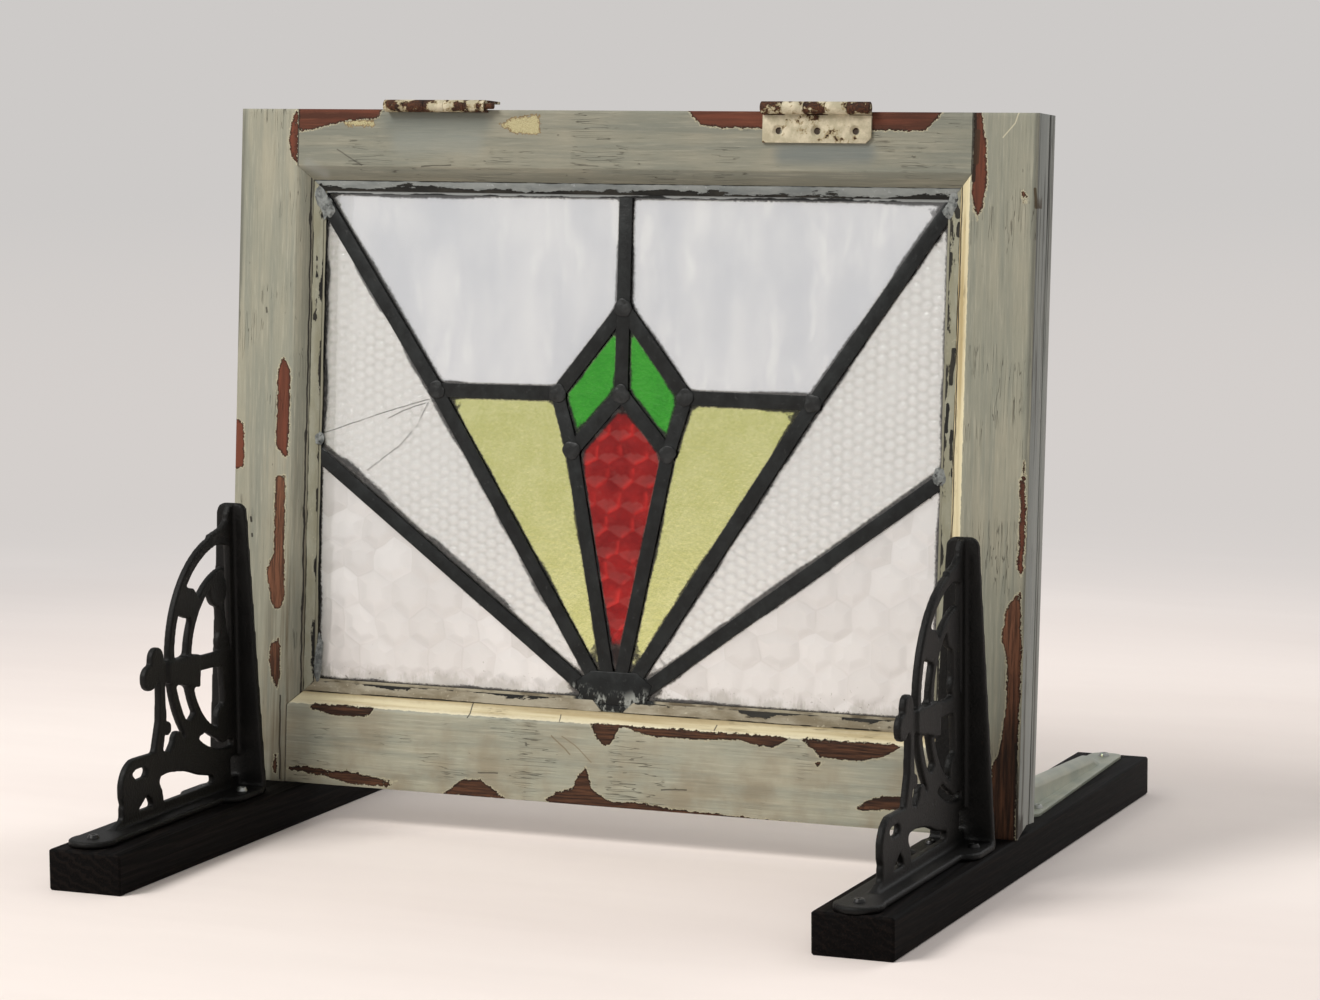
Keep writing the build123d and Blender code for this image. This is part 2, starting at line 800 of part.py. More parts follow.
for hand in ("left", "right"):
    x = bracket_spread * (-1 if hand == "left" else 1)
    seat = (x, cast_back[hand], foot_height)
    web = Plane(origin=seat, x_dir=(0, -1, 0), z_dir=(-1, 0, 0))
    plate = Plane(origin=seat, x_dir=(1, 0, 0), z_dir=(0, -1, 0))
    base = Plane(origin=seat, x_dir=(1, 0, 0), z_dir=(0, 0, 1))
    with BuildPart() as scroll_bracket:
        # Upright plate, tapering from the foot to a rounded top.
        with BuildSketch(plate) as upright:
            Polygon(
                (-plate_foot_half, 0),
                (plate_foot_half, 0),
                (plate_top_half, cast_height),
                (-plate_top_half, cast_height),
                align=None,
            )
            fillet(upright.vertices().group_by(Axis.Y)[-1], radius=plate_top_half * 0.6)
        extrude(amount=plate_thickness)
        # Base plate, with a broad heel, a narrow bar and a round toe.
        with BuildSketch(base) as sole:
            with Locations((0, -base_heel_length / 2)):
                RectangleRounded(2 * base_heel_half, base_heel_length, radius=base_heel_half * 0.5)
            with Locations((0, -plate_thickness)):
                Rectangle(2 * plate_foot_half, 2 * plate_thickness)
            with Locations((0, -cast_toe_screw / 2)):
                Rectangle(2 * base_bar_half, cast_toe_screw)
            with Locations((0, -cast_toe_screw)):
                Circle(base_toe_radius)
        extrude(amount=base_thickness)
        # Rings, spine and scrolls of the web.
        with BuildSketch(web) as rings:
            with Locations(ring_centre):
                Circle(ring_radius)
                Circle(ring_radius - ring_limb, mode=Mode.SUBTRACT)
            with Locations((cast_length / 2 + plate_thickness, cast_height / 2)):
                Rectangle(cast_length, cast_height, mode=Mode.INTERSECT)
        extrude(amount=web_thickness / 2, both=True)
        with BuildSketch(web) as inner_rings:
            with Locations(inner_ring_centre):
                Circle(inner_ring_radius)
                Circle(inner_ring_radius - inner_ring_limb, mode=Mode.SUBTRACT)
            with Locations((cast_length / 2 + plate_thickness, cast_height / 2)):
                Rectangle(cast_length, cast_height, mode=Mode.INTERSECT)
            with Locations((0, cast_height)):
                Rectangle(2 * 18.0, cast_height, mode=Mode.SUBTRACT)
        extrude(amount=web_thickness / 2, both=True)
        with BuildSketch(web) as scrolls:
            patch((plate_thickness, spine_low), (spine_front, spine_high))
            for outline in web_outlines:
                Polygon(*outline, align=None)
            with Locations(scroll_centre):
                Circle(scroll_radius)
            for outline in (scroll_hole, scroll_gap):
                Polygon(*outline, align=None, mode=Mode.SUBTRACT)
            for centre, radius in bulbs + berries + stem_leaf + knob_parts:
                with Locations(centre):
                    Circle(radius)
        extrude(amount=web_thickness / 2, both=True)
        with BuildSketch(web) as band:
            Polygon(*collar, align=None)
        extrude(amount=collar_thickness / 2, both=True)
        for sx, sy, top in stand_screw_places(hand)[:3]:
            with BuildSketch(Plane.XY.offset(foot_height)):
                with Locations((sx, sy)):
                    Circle(hole_radius)
            extrude(amount=base_thickness, mode=Mode.SUBTRACT)
    keep(scroll_bracket, f"{hand}_scroll_bracket")


def arm_outline(reach):
    """One arm of a rear bracket, from the bend outward: a neck, broad shoulders and a tapered end."""
    with BuildSketch(Plane.XY) as arm:
        Polygon(
            (-rear_heel_half, rear_neck),
            (rear_heel_half, rear_neck),
            (rear_toe_half, reach),
            (-rear_toe_half, reach),
            align=None,
        )
        fillet(arm.vertices(), radius=rear_corner)
        with Locations((0, rear_neck / 2 + rear_corner / 2)):
            Rectangle(2 * rear_neck_half, rear_neck + rear_corner)
    return arm.sketch


for hand in ("left", "right"):
    x = bracket_spread * (-1 if hand == "left" else 1)
    seat = (x, rear_front, foot_height)
    with BuildPart() as rear_bracket:
        with BuildSketch(Plane(origin=seat, x_dir=(-1, 0, 0), z_dir=(0, 0, -1))):
            add(arm_outline(rear_reach))
        extrude(amount=-rear_gauge)
        with BuildSketch(Plane(origin=seat, x_dir=(-1, 0, 0), z_dir=(0, 1, 0))):
            add(arm_outline(rear_rise))
        extrude(amount=rear_gauge)
        with BuildSketch(Plane(origin=seat, x_dir=(0, 1, 0), z_dir=(1, 0, 0))) as rib:
            Polygon(
                (0, 0),
                (rear_reach - rib_end, 0),
                (rear_reach - 2 * rib_end, 0.6 * rib_height),
                (3.5 * rib_height, rib_height),
                (1.8 * rib_height, 1.4 * rib_height),
                (1.4 * rib_height, 1.8 * rib_height),
                (rib_height, 3.5 * rib_height),
                (0.6 * rib_height, rear_rise - 2 * rib_end),
                (0, rear_rise - rib_end),
                align=None,
            )
        extrude(amount=rib_half, both=True)
        crest = [
            edge
            for edge in rear_bracket.edges()
            if abs(abs(edge.center().X - x) - rib_half) < 0.01
            and edge.center().Z > foot_height + rear_gauge + 1
            and edge.center().Y > rear_front + rear_gauge + 1
        ]
        fillet(crest, radius=rib_round)
        for sx, sy, top in stand_screw_places(hand)[3:]:
            with BuildSketch(foot_plane):
                with Locations((sx, sy)):
                    Circle(hole_radius)
            extrude(amount=rear_gauge, mode=Mode.SUBTRACT)
        with BuildSketch(Plane(origin=seat, x_dir=(-1, 0, 0), z_dir=(0, 1, 0))):
            heel_points = [(way * rear_heel_screw[0], rear_heel_screw[1]) for way in (-1, 1)]
            with Locations((0, rear_top_screw), *heel_points):
                Circle(hole_radius)
        extrude(amount=rear_gauge, mode=Mode.SUBTRACT)
    keep(rear_bracket, f"{hand}_rear_bracket")


def screw(head_plane):
    """A screw with a low head and a cross slot, its head seated on the plane and its shank below it."""
    with BuildSketch(head_plane) as shank:
        Circle(screw_shank)
    extrude(shank.sketch, amount=-screw_length)
    with BuildSketch(head_plane) as head:
        Circle(screw_head)
    extrude(head.sketch, amount=screw_head_height, taper=25)
    with BuildSketch(head_plane.offset(screw_head_height - slot_depth)) as slot:
        Rectangle(screw_head, slot_width)
        Rectangle(slot_width, screw_head)
    extrude(slot.sketch, amount=slot_depth, mode=Mode.SUBTRACT)


for hand in ("left", "right"):
    x = bracket_spread * (-1 if hand == "left" else 1)
    with BuildPart() as stand_screws:
        for sx, sy, seat in stand_screw_places(hand):
            screw(Plane(origin=(sx, sy, seat), x_dir=(1, 0, 0), z_dir=(0, 0, 1)))
        screw(
            Plane(
                origin=(x, rear_front + rear_gauge, foot_height + rear_top_screw),
                x_dir=(1, 0, 0),
                z_dir=(0, 1, 0),
            )
        )
    keep(stand_screws, f"{hand}_stand_screws")
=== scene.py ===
import math

import bmesh
import bpy
from mathutils import Matrix, Vector, noise


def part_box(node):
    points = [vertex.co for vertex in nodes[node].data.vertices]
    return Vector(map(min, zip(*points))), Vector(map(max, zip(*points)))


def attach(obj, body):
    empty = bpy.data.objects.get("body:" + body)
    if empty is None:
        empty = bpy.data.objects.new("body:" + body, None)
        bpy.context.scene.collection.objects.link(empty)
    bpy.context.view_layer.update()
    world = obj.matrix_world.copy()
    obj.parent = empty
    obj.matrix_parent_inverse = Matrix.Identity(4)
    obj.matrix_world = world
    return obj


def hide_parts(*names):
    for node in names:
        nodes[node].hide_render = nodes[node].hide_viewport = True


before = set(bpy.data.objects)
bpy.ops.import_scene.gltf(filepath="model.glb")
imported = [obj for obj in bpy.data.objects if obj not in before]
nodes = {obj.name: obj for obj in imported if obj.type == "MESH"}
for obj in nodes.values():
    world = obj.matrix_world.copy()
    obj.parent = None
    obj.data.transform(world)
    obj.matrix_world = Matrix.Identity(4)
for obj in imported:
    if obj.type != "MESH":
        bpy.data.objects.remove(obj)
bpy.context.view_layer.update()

# The two feet: lengths of sawn softwood batten stained black, with arrises just broken.
# The grain runs along each foot and opens up at the sawn ends, where the stain is thin.


def reworked(name, bevel=0.0006, segments=2, angle=28):
    """A copy of a CAD node's mesh, merged into whole faces, with its sharp edges rounded."""
    mesh = nodes[name].data.copy()
    mesh.materials.clear()
    bm = bmesh.new()
    bm.from_mesh(mesh)
    bmesh.ops.remove_doubles(bm, verts=bm.verts, dist=0.00002)
    bmesh.ops.dissolve_limit(bm, angle_limit=math.radians(0.6), verts=bm.verts, edges=bm.edges)
    sharp = [e for e in bm.edges if e.is_manifold and e.calc_face_angle() > math.radians(angle)]
    if bevel:
        bmesh.ops.bevel(
            bm,
            geom=sharp,
            offset=bevel,
            offset_type="OFFSET",
            segments=segments,
            profile=0.5,
            affect="EDGES",
            clamp_overlap=True,
            material=-1,
        )
    for face in bm.faces:
        face.smooth = True
    bm.to_mesh(mesh)
    bm.free()
    return mesh


def piece(name, mesh, material, slot, *stands_for, body="stand_and_sash", crease=None):
    """A finished piece with its place in its mesh; faces that meet at more than the crease look separate."""
    thing = bpy.data.objects.new(name, mesh)
    bpy.context.scene.collection.objects.link(thing)
    mesh.materials.clear()
    mesh.materials.append(material)
    if crease:
        mesh.set_sharp_from_angle(angle=math.radians(crease))
    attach(thing, body)
    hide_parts(*stands_for)


def srgb(*shown):
    """A colour read off as 0 to 255 display values, as the shader wants it."""
    return tuple(((c / 255 + 0.055) / 1.055) ** 2.4 if c > 10 else c / 255 / 12.92 for c in shown) + (1,)


def put(kind, settings=None, tree=None, **inputs):
    """A shader node, in the tree of its inputs; each input is a value or another node's socket."""
    tree = tree or next(v.id_data for v in inputs.values() if isinstance(v, bpy.types.NodeSocket))
    new = tree.nodes.new("ShaderNode" + kind)
    for key, value in (settings or {}).items():
        setattr(new, key, value)
    for key, value in inputs.items():
        numbered = key[0] == "i" and key[1:].isdigit()
        socket = new.inputs[int(key[1:]) if numbered else key.replace("_", " ")]
        if isinstance(value, bpy.types.NodeSocket):
            tree.links.new(value, socket)
        else:
            socket.default_value = value
    return new


def calc(operation, a, b=0.0, c=0.0, clamp=False):
    """A sum of one to three numbers, each a value or a socket."""
    return put("Math", {"operation": operation, "use_clamp": clamp}, i0=a, i1=b, i2=c).outputs[0]


def plus(a, b, clamp=False):
    return calc("ADD", a, b, clamp=clamp)


def times(a, b, clamp=False):
    return calc("MULTIPLY", a, b, clamp=clamp)


def rise(value, low, high, start=0.0, end=1.0):
    """A smooth step from start to end as value goes from low to high."""
    ends = {"From_Min": low, "From_Max": high, "To_Min": start, "To_Max": end}
    return put("MapRange", {"interpolation_type": "SMOOTHSTEP"}, Value=value, **ends).outputs[0]


def blend(share, a, b):
    """One colour laid over another by a share."""
    return put("Mix", {"data_type": "RGBA"}, i0=share, i6=a, i7=b).outputs[2]


def grain(vector, scale, detail=4.0, rough=0.55, stretch=(1, 1, 1), offset=(0, 0, 0)):
    """Noise over the piece, stretched along the axes with the smaller factors."""
    spread = put("Mapping", Vector=vector, Scale=stretch, Location=offset).outputs[0]
    return put("TexNoise", Vector=spread, Scale=scale, Detail=detail, Roughness=rough).outputs[0]


def finish_of(name, roughness=0.6, metallic=0.0, specular=0.5):
    """A new material, its shader and its Object coordinates."""
    material = bpy.data.materials.new(name)
    material.use_nodes = True
    shader = material.node_tree.nodes["Principled BSDF"]
    shader.inputs["Roughness"].default_value = roughness
    shader.inputs["Metallic"].default_value = metallic
    shader.inputs["Specular IOR Level"].default_value = specular
    return material, shader, put("TexCoord", tree=material.node_tree).outputs["Object"]


def join(output, socket):
    output.id_data.links.new(output, socket)


def surface(shader, colour, height, depth):
    """Gives a shader its colour and its bump, with the bump's height in metres."""
    bump = put("Bump", Strength=1.0, Distance=depth, Height=height)
    join(colour, shader.inputs["Base Color"])
    join(bump.outputs[0], shader.inputs["Normal"])


def black_stained_wood():
    material, shader, place = finish_of("black_stained_softwood", roughness=0.7, specular=0.08)
    rings = put("Mapping", Vector=place, Scale=(1, 0.06, 1), Rotation=(0, 0.35, 0)).outputs[0]
    wobble = grain(place, 9, 3, stretch=(1, 0.15, 1))
    bands = put(
        "TexWave",
        {"wave_type": "BANDS", "bands_direction": "DIAGONAL"},
        Vector=rings,
        Scale=75,
        Distortion=6,
        Detail=3,
        Detail_Scale=1.6,
    ).outputs[1]
    fibres = grain(place, 900, 3, stretch=(1, 0.02, 1))
    worn = rise(times(bands, wobble), 0.28, 0.62)
    tone = blend(worn, srgb(4, 3, 3), srgb(17, 13, 11))
    tone = blend(rise(fibres, 0.5, 0.75, 0, 0.4), tone, srgb(42, 31, 26))
    height = plus(times(bands, 0.6), times(fibres, 0.5))
    surface(shader, tone, height, 0.0006)
    return material


foot_finish = black_stained_wood()
for hand in ("left", "right"):
    name = f"{hand}_foot"
    piece(f"{name}_batten", reworked(name), foot_finish, "stained_wood", name, crease=35)

# The sash: two full-height stiles with the rails tenoned between them, in old painted softwood.
# The sage top coat has been brushed on along each timber over a cream one and a red primer, and
# has come away in flakes, most of them along the edges and where the rails meet the stiles.
sash_lean = math.radians(4.85)
sash_front = -0.0265
foot_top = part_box("left_foot")[1].z
sash_turn = Matrix.Rotation(sash_lean, 4, "X") @ Matrix.Translation((0, -sash_front, -foot_top))
sash_back = sash_turn.inverted()
paint_grid = 0.003
chip_depth = 0.012
rail_end = 0.2450
putty_line = 0.2376
stile_edge = 0.2890

# Flakes on the front, in millimetres across from the sash's middle and up its slope.
bare_wood = {
    "left_stile": [
        [
            (-258, 213), (-250, 214), (-250, 169), (-249, 127), (-253, 120), (-258, 121),
            (-264, 146), (-258, 160),
        ],
        [(-259, 96), (-252, 101), (-251, 76), (-253, 65), (-257, 70), (-260, 84)],
        [(-255, 17), (-252, 20), (-252, 4), (-255, 6)],
    ],
    "right_stile": [
        [
            (287, 162), (278, 150), (275, 129), (279, 118), (280, 90), (276, 56), (271, 47),
            (271, -2), (288, -2), (289, 123),
        ],
        [(280, 418), (282.5, 418), (283, 410), (281, 410)],
    ],
    "bottom_rail": [
        [(-228, 53), (-225, 56), (-176, 56), (-182, 50), (-207, 49)],
        [
            (-245, 9), (-237, 12), (-224, 12), (-210, 10), (-196, 11), (-185, 9), (-158, 6),
            (-167, 2), (-194, 2), (-214, 6),
        ],
        [(-123, 0), (-114, 6), (-110, 11), (-95, 12), (-87, 8), (-75, 0)],
        [
            (-46, 2), (-36, 8), (-25, 11), (-23, 18), (-16, 26), (-13, 18), (-11, 11), (3, 4),
            (25, 5), (52, 2), (45, -3), (-34, -3),
        ],
        [(-14, 56), (8, 56), (3, 44), (-3, 41), (-8, 46)],
        [(8, 56), (131, 56), (121, 49), (108, 49), (96, 52), (60, 50), (31, 50)],
        [(138, 56), (210, 56), (198, 48), (181, 44), (165, 44), (153, 45), (145, 51)],
        [(148, 41), (153, 42), (154, 39), (150, 38)],
        [(179, 13), (186, 18), (197, 22), (220, 23), (222, 15), (196, 13), (183, 11)],
        [(25, 2), (68, 2), (161, -1), (161, -5), (25, -5)],
    ],
}
red_primer = {
    "left_stile": [
        [
            (-258, 285), (-254, 297), (-248, 287), (-248, 252), (-249, 225), (-255, 231),
            (-258, 233), (-258, 266),
        ],
        [(-293, 253), (-284, 249), (-283, 226), (-284, 218), (-293, 217)],
        [(-246, 470), (-251, 460), (-253, 446), (-251, 436), (-246, 430)],
    ],
    "right_stile": [
        [(246, 470), (251, 470), (255, 444), (256, 421), (254, 408), (249, 398), (246, 418)],
        [(287, 246), (286, 242), (284, 229), (285, 213), (285, 194), (284, 176), (288, 170), (289, 207)],
    ],
    "top_rail": [
        [(-246, 470), (-180, 470), (-184, 462), (-210, 460), (-230, 455), (-246, 452)],
        [(45, 470), (227, 471), (220, 463), (213, 456), (199, 456), (84, 457), (70, 457), (55, 459)],
    ],
}
cream_flakes = {
    "top_rail": [
        [(-211, 460), (-186, 461), (-186, 456), (-210, 456)],
        [(-93, 458), (-84, 462), (-62, 466), (-61, 451), (-80, 452)],
    ],
}


def less(a, b, clamp=False):
    return calc("SUBTRACT", a, b, clamp=clamp)


def swing(value, reach):
    """A value from 0 to 1 as a number to either side of zero."""
    return times(less(value, 0.5), reach)


def vectors(operation, a, b=(0, 0, 0)):
    """A sum of one or two vectors; a dot product, a distance or a length comes out as a number."""
    new = put("VectorMath", {"operation": operation}, i0=a, i1=b)
    return new.outputs["Value" if operation in ("DOT_PRODUCT", "DISTANCE", "LENGTH") else "Vector"]


def sash_spot(place):
    """Coordinates across, behind and up the leaning sash, as a vector and as three sockets."""
    shift = sash_turn.to_translation()
    spot = put("Mapping", Vector=place, Rotation=(sash_lean, 0, 0), Location=shift).outputs[0]
    return spot, *put("SeparateXYZ", Vector=spot).outputs


def wandering(spot, scale, reach):
    """The same coordinates shaken by noise, so that a drawn line comes out uneven."""
    shaken = put("TexNoise", Vector=spot, Scale=scale, Detail=3).outputs["Color"]
    centred = vectors("SUBTRACT", shaken, (0.5, 0.5, 0.5))
    offset = put("VectorMath", {"operation": "SCALE"}, i0=centred, Scale=reach).outputs[0]
    return vectors("ADD", spot, offset)


def near_path(spot, points):
    """Distance from a path drawn on the sash's face, its points in millimetres across and up the slope."""
    flat = vectors("MULTIPLY", spot, (1, 0, 1))
    nearest = None
    for a, b in zip(points, points[1:]):
        start = Vector((a[0], 0, a[1])) * 0.001
        run = Vector((b[0], 0, b[1])) * 0.001 - start
        away = vectors("SUBTRACT", flat, start)
        share = times(vectors("DOT_PRODUCT", away, run / run.length_squared), 1.0, clamp=True)
        reached = put("VectorMath", {"operation": "SCALE"}, i0=run, Scale=share).outputs[0]
        gap = vectors("DISTANCE", away, reached)
        nearest = gap if nearest is None else calc("MINIMUM", nearest, gap)
    return nearest


def inside_by(point, outline):
    """How far a point lies inside an outline, negative outside it."""
    nearest = 1e9
    within = False
    for a, b in zip(outline, outline[1:] + outline[:1]):
        a, b = Vector(a), Vector(b)
        along = (b - a).dot(point - a) / (b - a).length_squared
        nearest = min(nearest, (a.lerp(b, min(max(along, 0), 1)) - point).length)
        if (a.y > point.y) != (b.y > point.y):
            if point.x < a.x + (b.x - a.x) * (point.y - a.y) / (b.y - a.y):
                within = not within
    return nearest if within else -nearest


def cut_on_grid(mesh, pitch, low, high):
    """Cuts a mesh by planes across the sash and up its slope, so that a surface value can follow it."""
    bm = bmesh.new()
    bm.from_mesh(mesh)
    for axis, span in ((Vector((1, 0, 0)), (low.x, high.x)), (Vector((0, 0, 1)), (low.z, high.z))):
        normal = (sash_back.to_3x3() @ axis).normalized()
        steps = int((span[1] - span[0]) / pitch)
        for i in range(1, steps):
            at = axis * (span[0] + i * (span[1] - span[0]) / steps)
            everything = bm.verts[:] + bm.edges[:] + bm.faces[:]
            bmesh.ops.bisect_plane(
                bm, geom=everything, dist=0.000001, plane_co=sash_back @ at, plane_no=normal
            )
    bm.to_mesh(mesh)
    bm.free()


def spans_of(mesh):
    """The lowest and highest corner of a mesh in the sash's own coordinates."""
    corners = [sash_turn @ v.co for v in mesh.vertices]
    return tuple(Vector([pick(c[i] for c in corners) for i in range(3)]) for pick in (min, max))


def flake_values(mesh, name):
    """Stores how deep each point lies in a flake, and whether the flake stops at primer or cream paint."""
    bare = mesh.attributes.new("bare", "FLOAT", "POINT")
    primer = mesh.attributes.new("primer", "FLOAT", "POINT")
    cream = mesh.attributes.new("cream", "FLOAT", "POINT")
    for i, vertex in enumerate(mesh.vertices):
        place = sash_turn @ vertex.co
        here = Vector((place.x, place.z)) * 1000
        depths = [-10.0, -10.0, -10.0]
        if place.y < chip_depth:
            for kind, outlines in enumerate((bare_wood, red_primer, cream_flakes)):
                for outline in outlines.get(name, []):
                    depths[kind] = max(depths[kind], inside_by(here, outline))
        fade = max(0.0, place.y - 0.004) * 1000
        bare.data[i].value = max(depths[0], depths[1]) - fade
        primer.data[i].value = 1.0 if depths[1] > depths[0] else 0.0
        cream.data[i].value = depths[2] - fade


def stored(key, material):
    """A value kept at each point of the mesh."""
    settings = {"attribute_name": key, "attribute_type": "GEOMETRY"}
    return put("Attribute", settings, material.node_tree).outputs["Fac"]


def old_paint(name, along, tone=1.0, cream_splay=False, gap_reach=0.0, soil=0.0, marks=()):
    """Flaking sage paint over cream, primer and wood; along is the way of the grain."""
    material, shader, place = finish_of(name, roughness=0.55, specular=0.3)
    spot, across, depth, slope = sash_spot(place)
    thin = {"X": (0.05, 1, 1), "Z": (1, 1, 0.05)}[along]
    brush = grain(spot, 620, 4, 0.65, stretch=thin)
    streak = grain(spot, 130, 4, 0.6, stretch=thin)
    cloud = grain(spot, 14, 4, 0.6)
    ragged = grain(spot, 230, 5, 0.65)
    fine = grain(spot, 1400, 2, 0.6)
    out = calc("ABSOLUTE", across)

    def shade(*shown):
        return srgb(*(min(255, c * tone) for c in shown))

    # Top coat: brush marks, cleaner and yellower places, and grime with painted shade towards the foot of
    # the sash.
    sage = blend(rise(cloud, 0.35, 0.7), shade(156, 156, 139), shade(170, 166, 146))
    sage = blend(rise(streak, 0.40, 0.66, 0, 0.8), sage, shade(140, 143, 130))
    sage = blend(rise(brush, 0.50, 0.72, 0, 0.6), sage, shade(184, 181, 162))
    sage = blend(rise(brush, 0.46, 0.28, 0, 0.5), sage, shade(124, 125, 109))
    grime_and_shade = times(rise(slope, 0.12, 0.0, 0, 0.6), rise(grain(spot, 30, 5), 0.35, 0.7))
    sage = blend(grime_and_shade, sage, shade(130, 116, 92))

    # The splay towards the glass is darkened with soot and painted shade, and the outer arrises hold soot.
    soot_and_shade = rise(grain(spot, 60, 5, 0.65, stretch=thin), 0.35, 0.65, 0.35, 0.8)
    on_splay = times(rise(depth, 0.0006, 0.0045), rise(depth, 0.012, 0.009))
    sage = blend(times(times(on_splay, soot_and_shade), 0.45), sage, srgb(98, 94, 78))
    arris = times(rise(out, stile_edge - 0.0035, stile_edge), rise(streak, 0.44, 0.60))
    sage = blend(times(arris, 0.6), sage, srgb(84, 84, 76))

    # Hairline cracks and small pits that run with the grain, in patches.
    crack = calc("ABSOLUTE", less(grain(spot, 330, 2, 0.5, stretch=thin), 0.5))
    patch = rise(grain(spot, 24, 3, offset=(3, 1, 2)), 0.52, 0.62)
    crack = times(rise(crack, 0.010, 0.002), patch)
    short = {"X": (0.22, 1, 1), "Z": (1, 1, 0.22)}[along]
    pits = rise(grain(spot, 520, 2, 0.5, stretch=short), 0.73, 0.77)
    pits = times(pits, rise(grain(spot, 35, 2), 0.45, 0.6, 0.15, 1.0))
    crack = calc("MAXIMUM", crack, pits)
    sage = blend(times(crack, 0.6), sage, srgb(64, 57, 44))

    # The outer faces of the stiles have weathered bluish, with long dark streaks.
    outside = times(rise(out, stile_edge - 0.0012, stile_edge - 0.0002), rise(depth, 0.0004, 0.0016))
    long_streak = grain(spot, 210, 4, 0.65, stretch=(1, 1, 0.025), offset=(3, 3, 0))
    sage = blend(times(outside, 0.75), sage, shade(150, 156, 154))
    streaked = times(outside, rise(long_streak, 0.54, 0.62))
    sage = blend(times(streaked, 0.85), sage, srgb(60, 60, 56))
    if along == "Z":
        # Low on the stiles, towards their inner edges: dirt streaks and painted shade from the bracket
        # plates.
        soiled_and_shaded = times(rise(slope, 0.30, 0.05), rise(long_streak, 0.44, 0.60))
        soiled_and_shaded = times(soiled_and_shaded, rise(out, 0.270, 0.246, 0.25, 1.0))
        sage = blend(times(soiled_and_shaded, soil), sage, srgb(104, 92, 70))

    # What lies under it: dark old wood, redder and paler where the flake is fresher.
    wood = blend(rise(brush, 0.35, 0.65), srgb(46, 30, 21), srgb(96, 63, 43))
    wood = blend(rise(streak, 0.45, 0.62, 0, 0.75), wood, srgb(32, 21, 16))
    if along == "Z":
        fresh = times(rise(slope, 0.055, 0.12), rise(brush, 0.40, 0.62, 0.3, 0.95))
        wood = blend(fresh, wood, srgb(124, 82, 60))
    red = blend(rise(streak, 0.38, 0.66), srgb(110, 61, 44), srgb(74, 43, 31))
    red = blend(rise(brush, 0.55, 0.75, 0, 0.5), red, srgb(132, 86, 63))
    cream = blend(rise(streak, 0.38, 0.68), srgb(216, 205, 168), srgb(176, 158, 116))
    cream = blend(rise(grain(spot, 70, 5, 0.7, stretch=short), 0.60, 0.68, 0, 0.7), cream, srgb(108, 92, 64))

    wander = swing(ragged, 5.0)
    nibbled = grain(spot, 800, 3, 0.6)
    wander = plus(wander, swing(nibbled, 3.0))
    bare_by = plus(stored("bare", material), wander)
    flaked = rise(bare_by, -0.15, 0.15)
    lifted = rise(bare_by, -1.0, -0.35)
    # The wood or primer just inside each flake's edge is darkened: painted shade under the paint's edge.
    flake_edge_shade = times(rise(bare_by, 1.5, 0.2), 0.75)
    under = blend(stored("primer", material), wood, red)
    under = blend(flake_edge_shade, under, srgb(30, 21, 15))
    cream_by = plus(stored("cream", material), times(wander, 1.6))
    creamed = rise(cream_by, -0.2, 0.3)
    old_edge = rise(cream_by, 1.6, 0.1)
    olive = blend(rise(fine, 0.4, 0.6), srgb(190, 182, 142), srgb(158, 148, 108))
    olive = blend(old_edge, olive, srgb(112, 88, 54))
    if cream_splay:
        lip = plus(depth, swing(ragged, 0.0016))
        ledge = times(rise(lip, 0.0008, 0.0012), rise(depth, 0.0098, 0.0085))
        inward = rise(out, 0.262, 0.250) if along == "Z" else rise(slope, 0.030, 0.042)
        ledge = times(ledge, inward)
        # A painted highlight along the ledge's lip.
        lip_highlight = times(rise(lip, 0.0030, 0.0012), 0.45 if along == "Z" else 0.75)
        cream = blend(lip_highlight, cream, srgb(228, 220, 190))
        cream = blend(times(rise(lip, 0.0040, 0.0064), soot_and_shade), cream, srgb(150, 130, 92))
    colour = blend(times(lifted, 0.7), sage, srgb(192, 184, 154))
    colour = blend(creamed, colour, olive)
    if cream_splay:
        colour = blend(ledge, colour, cream)
    colour = blend(flaked, colour, under)

    # Cracked joints: where rail meets stile, and where the timber has drawn away from the putty.
    shaken = wandering(spot, 55, 0.0022)
    if along == "X":
        joint = plus(out, swing(ragged, 0.0012))
        joint = times(rise(joint, rail_end, rail_end + 0.0004), rise(depth, 0.012, 0.009))
        colour = blend(times(joint, 0.8), colour, srgb(38, 32, 25))
        gone_line = joint
    else:
        side = put("SeparateXYZ", Vector=shaken)
        apart = calc("ABSOLUTE", less(calc("ABSOLUTE", side.outputs[0]), putty_line))
        width = rise(grain(spot, 34, 4, offset=(1, 6, 2)), 0.52, 0.70, 0.00045, gap_reach)
        gone_line = calc("LESS_THAN", apart, width)
        gone_line = times(gone_line, rise(depth, 0.003, 0.004))
        colour = blend(times(gone_line, 0.92), colour, srgb(24, 20, 16))
    # Single marks: cracks and stains, and on the top rail painted shadows below the hinges and painted shade
    # in the hinge holes.
    for points, reach, ink, share in marks:
        drawn = rise(near_path(shaken, points), reach, reach * (0.6 if reach < 0.004 else 0.1))
        drawn = times(drawn, rise(depth, 0.012, 0.010))
        colour = blend(times(drawn, share), colour, srgb(*ink))

    # Old flakes in no special place, on the edges and the back.
    stray = rise(grain(spot, 26, 5, 0.62, stretch=thin, offset=(7, 2, 5)), 0.655, 0.66)
    stray = times(stray, rise(depth, 0.012, 0.02))
    colour = blend(stray, colour, wood)

    gone = calc("MAXIMUM", flaked, stray)
    height = less(1.0, calc("MAXIMUM", gone, gone_line))
    height = plus(height, times(brush, 0.35))
    height = plus(height, times(streak, 0.45))
    height = less(height, times(crack, 0.8))
    height = plus(height, times(fine, 0.08))
    surface(shader, colour, height, 0.0006)
    rough = rise(gone, 0, 1, 0.5, 0.85)
    join(rough, shader.inputs["Roughness"])
    return material


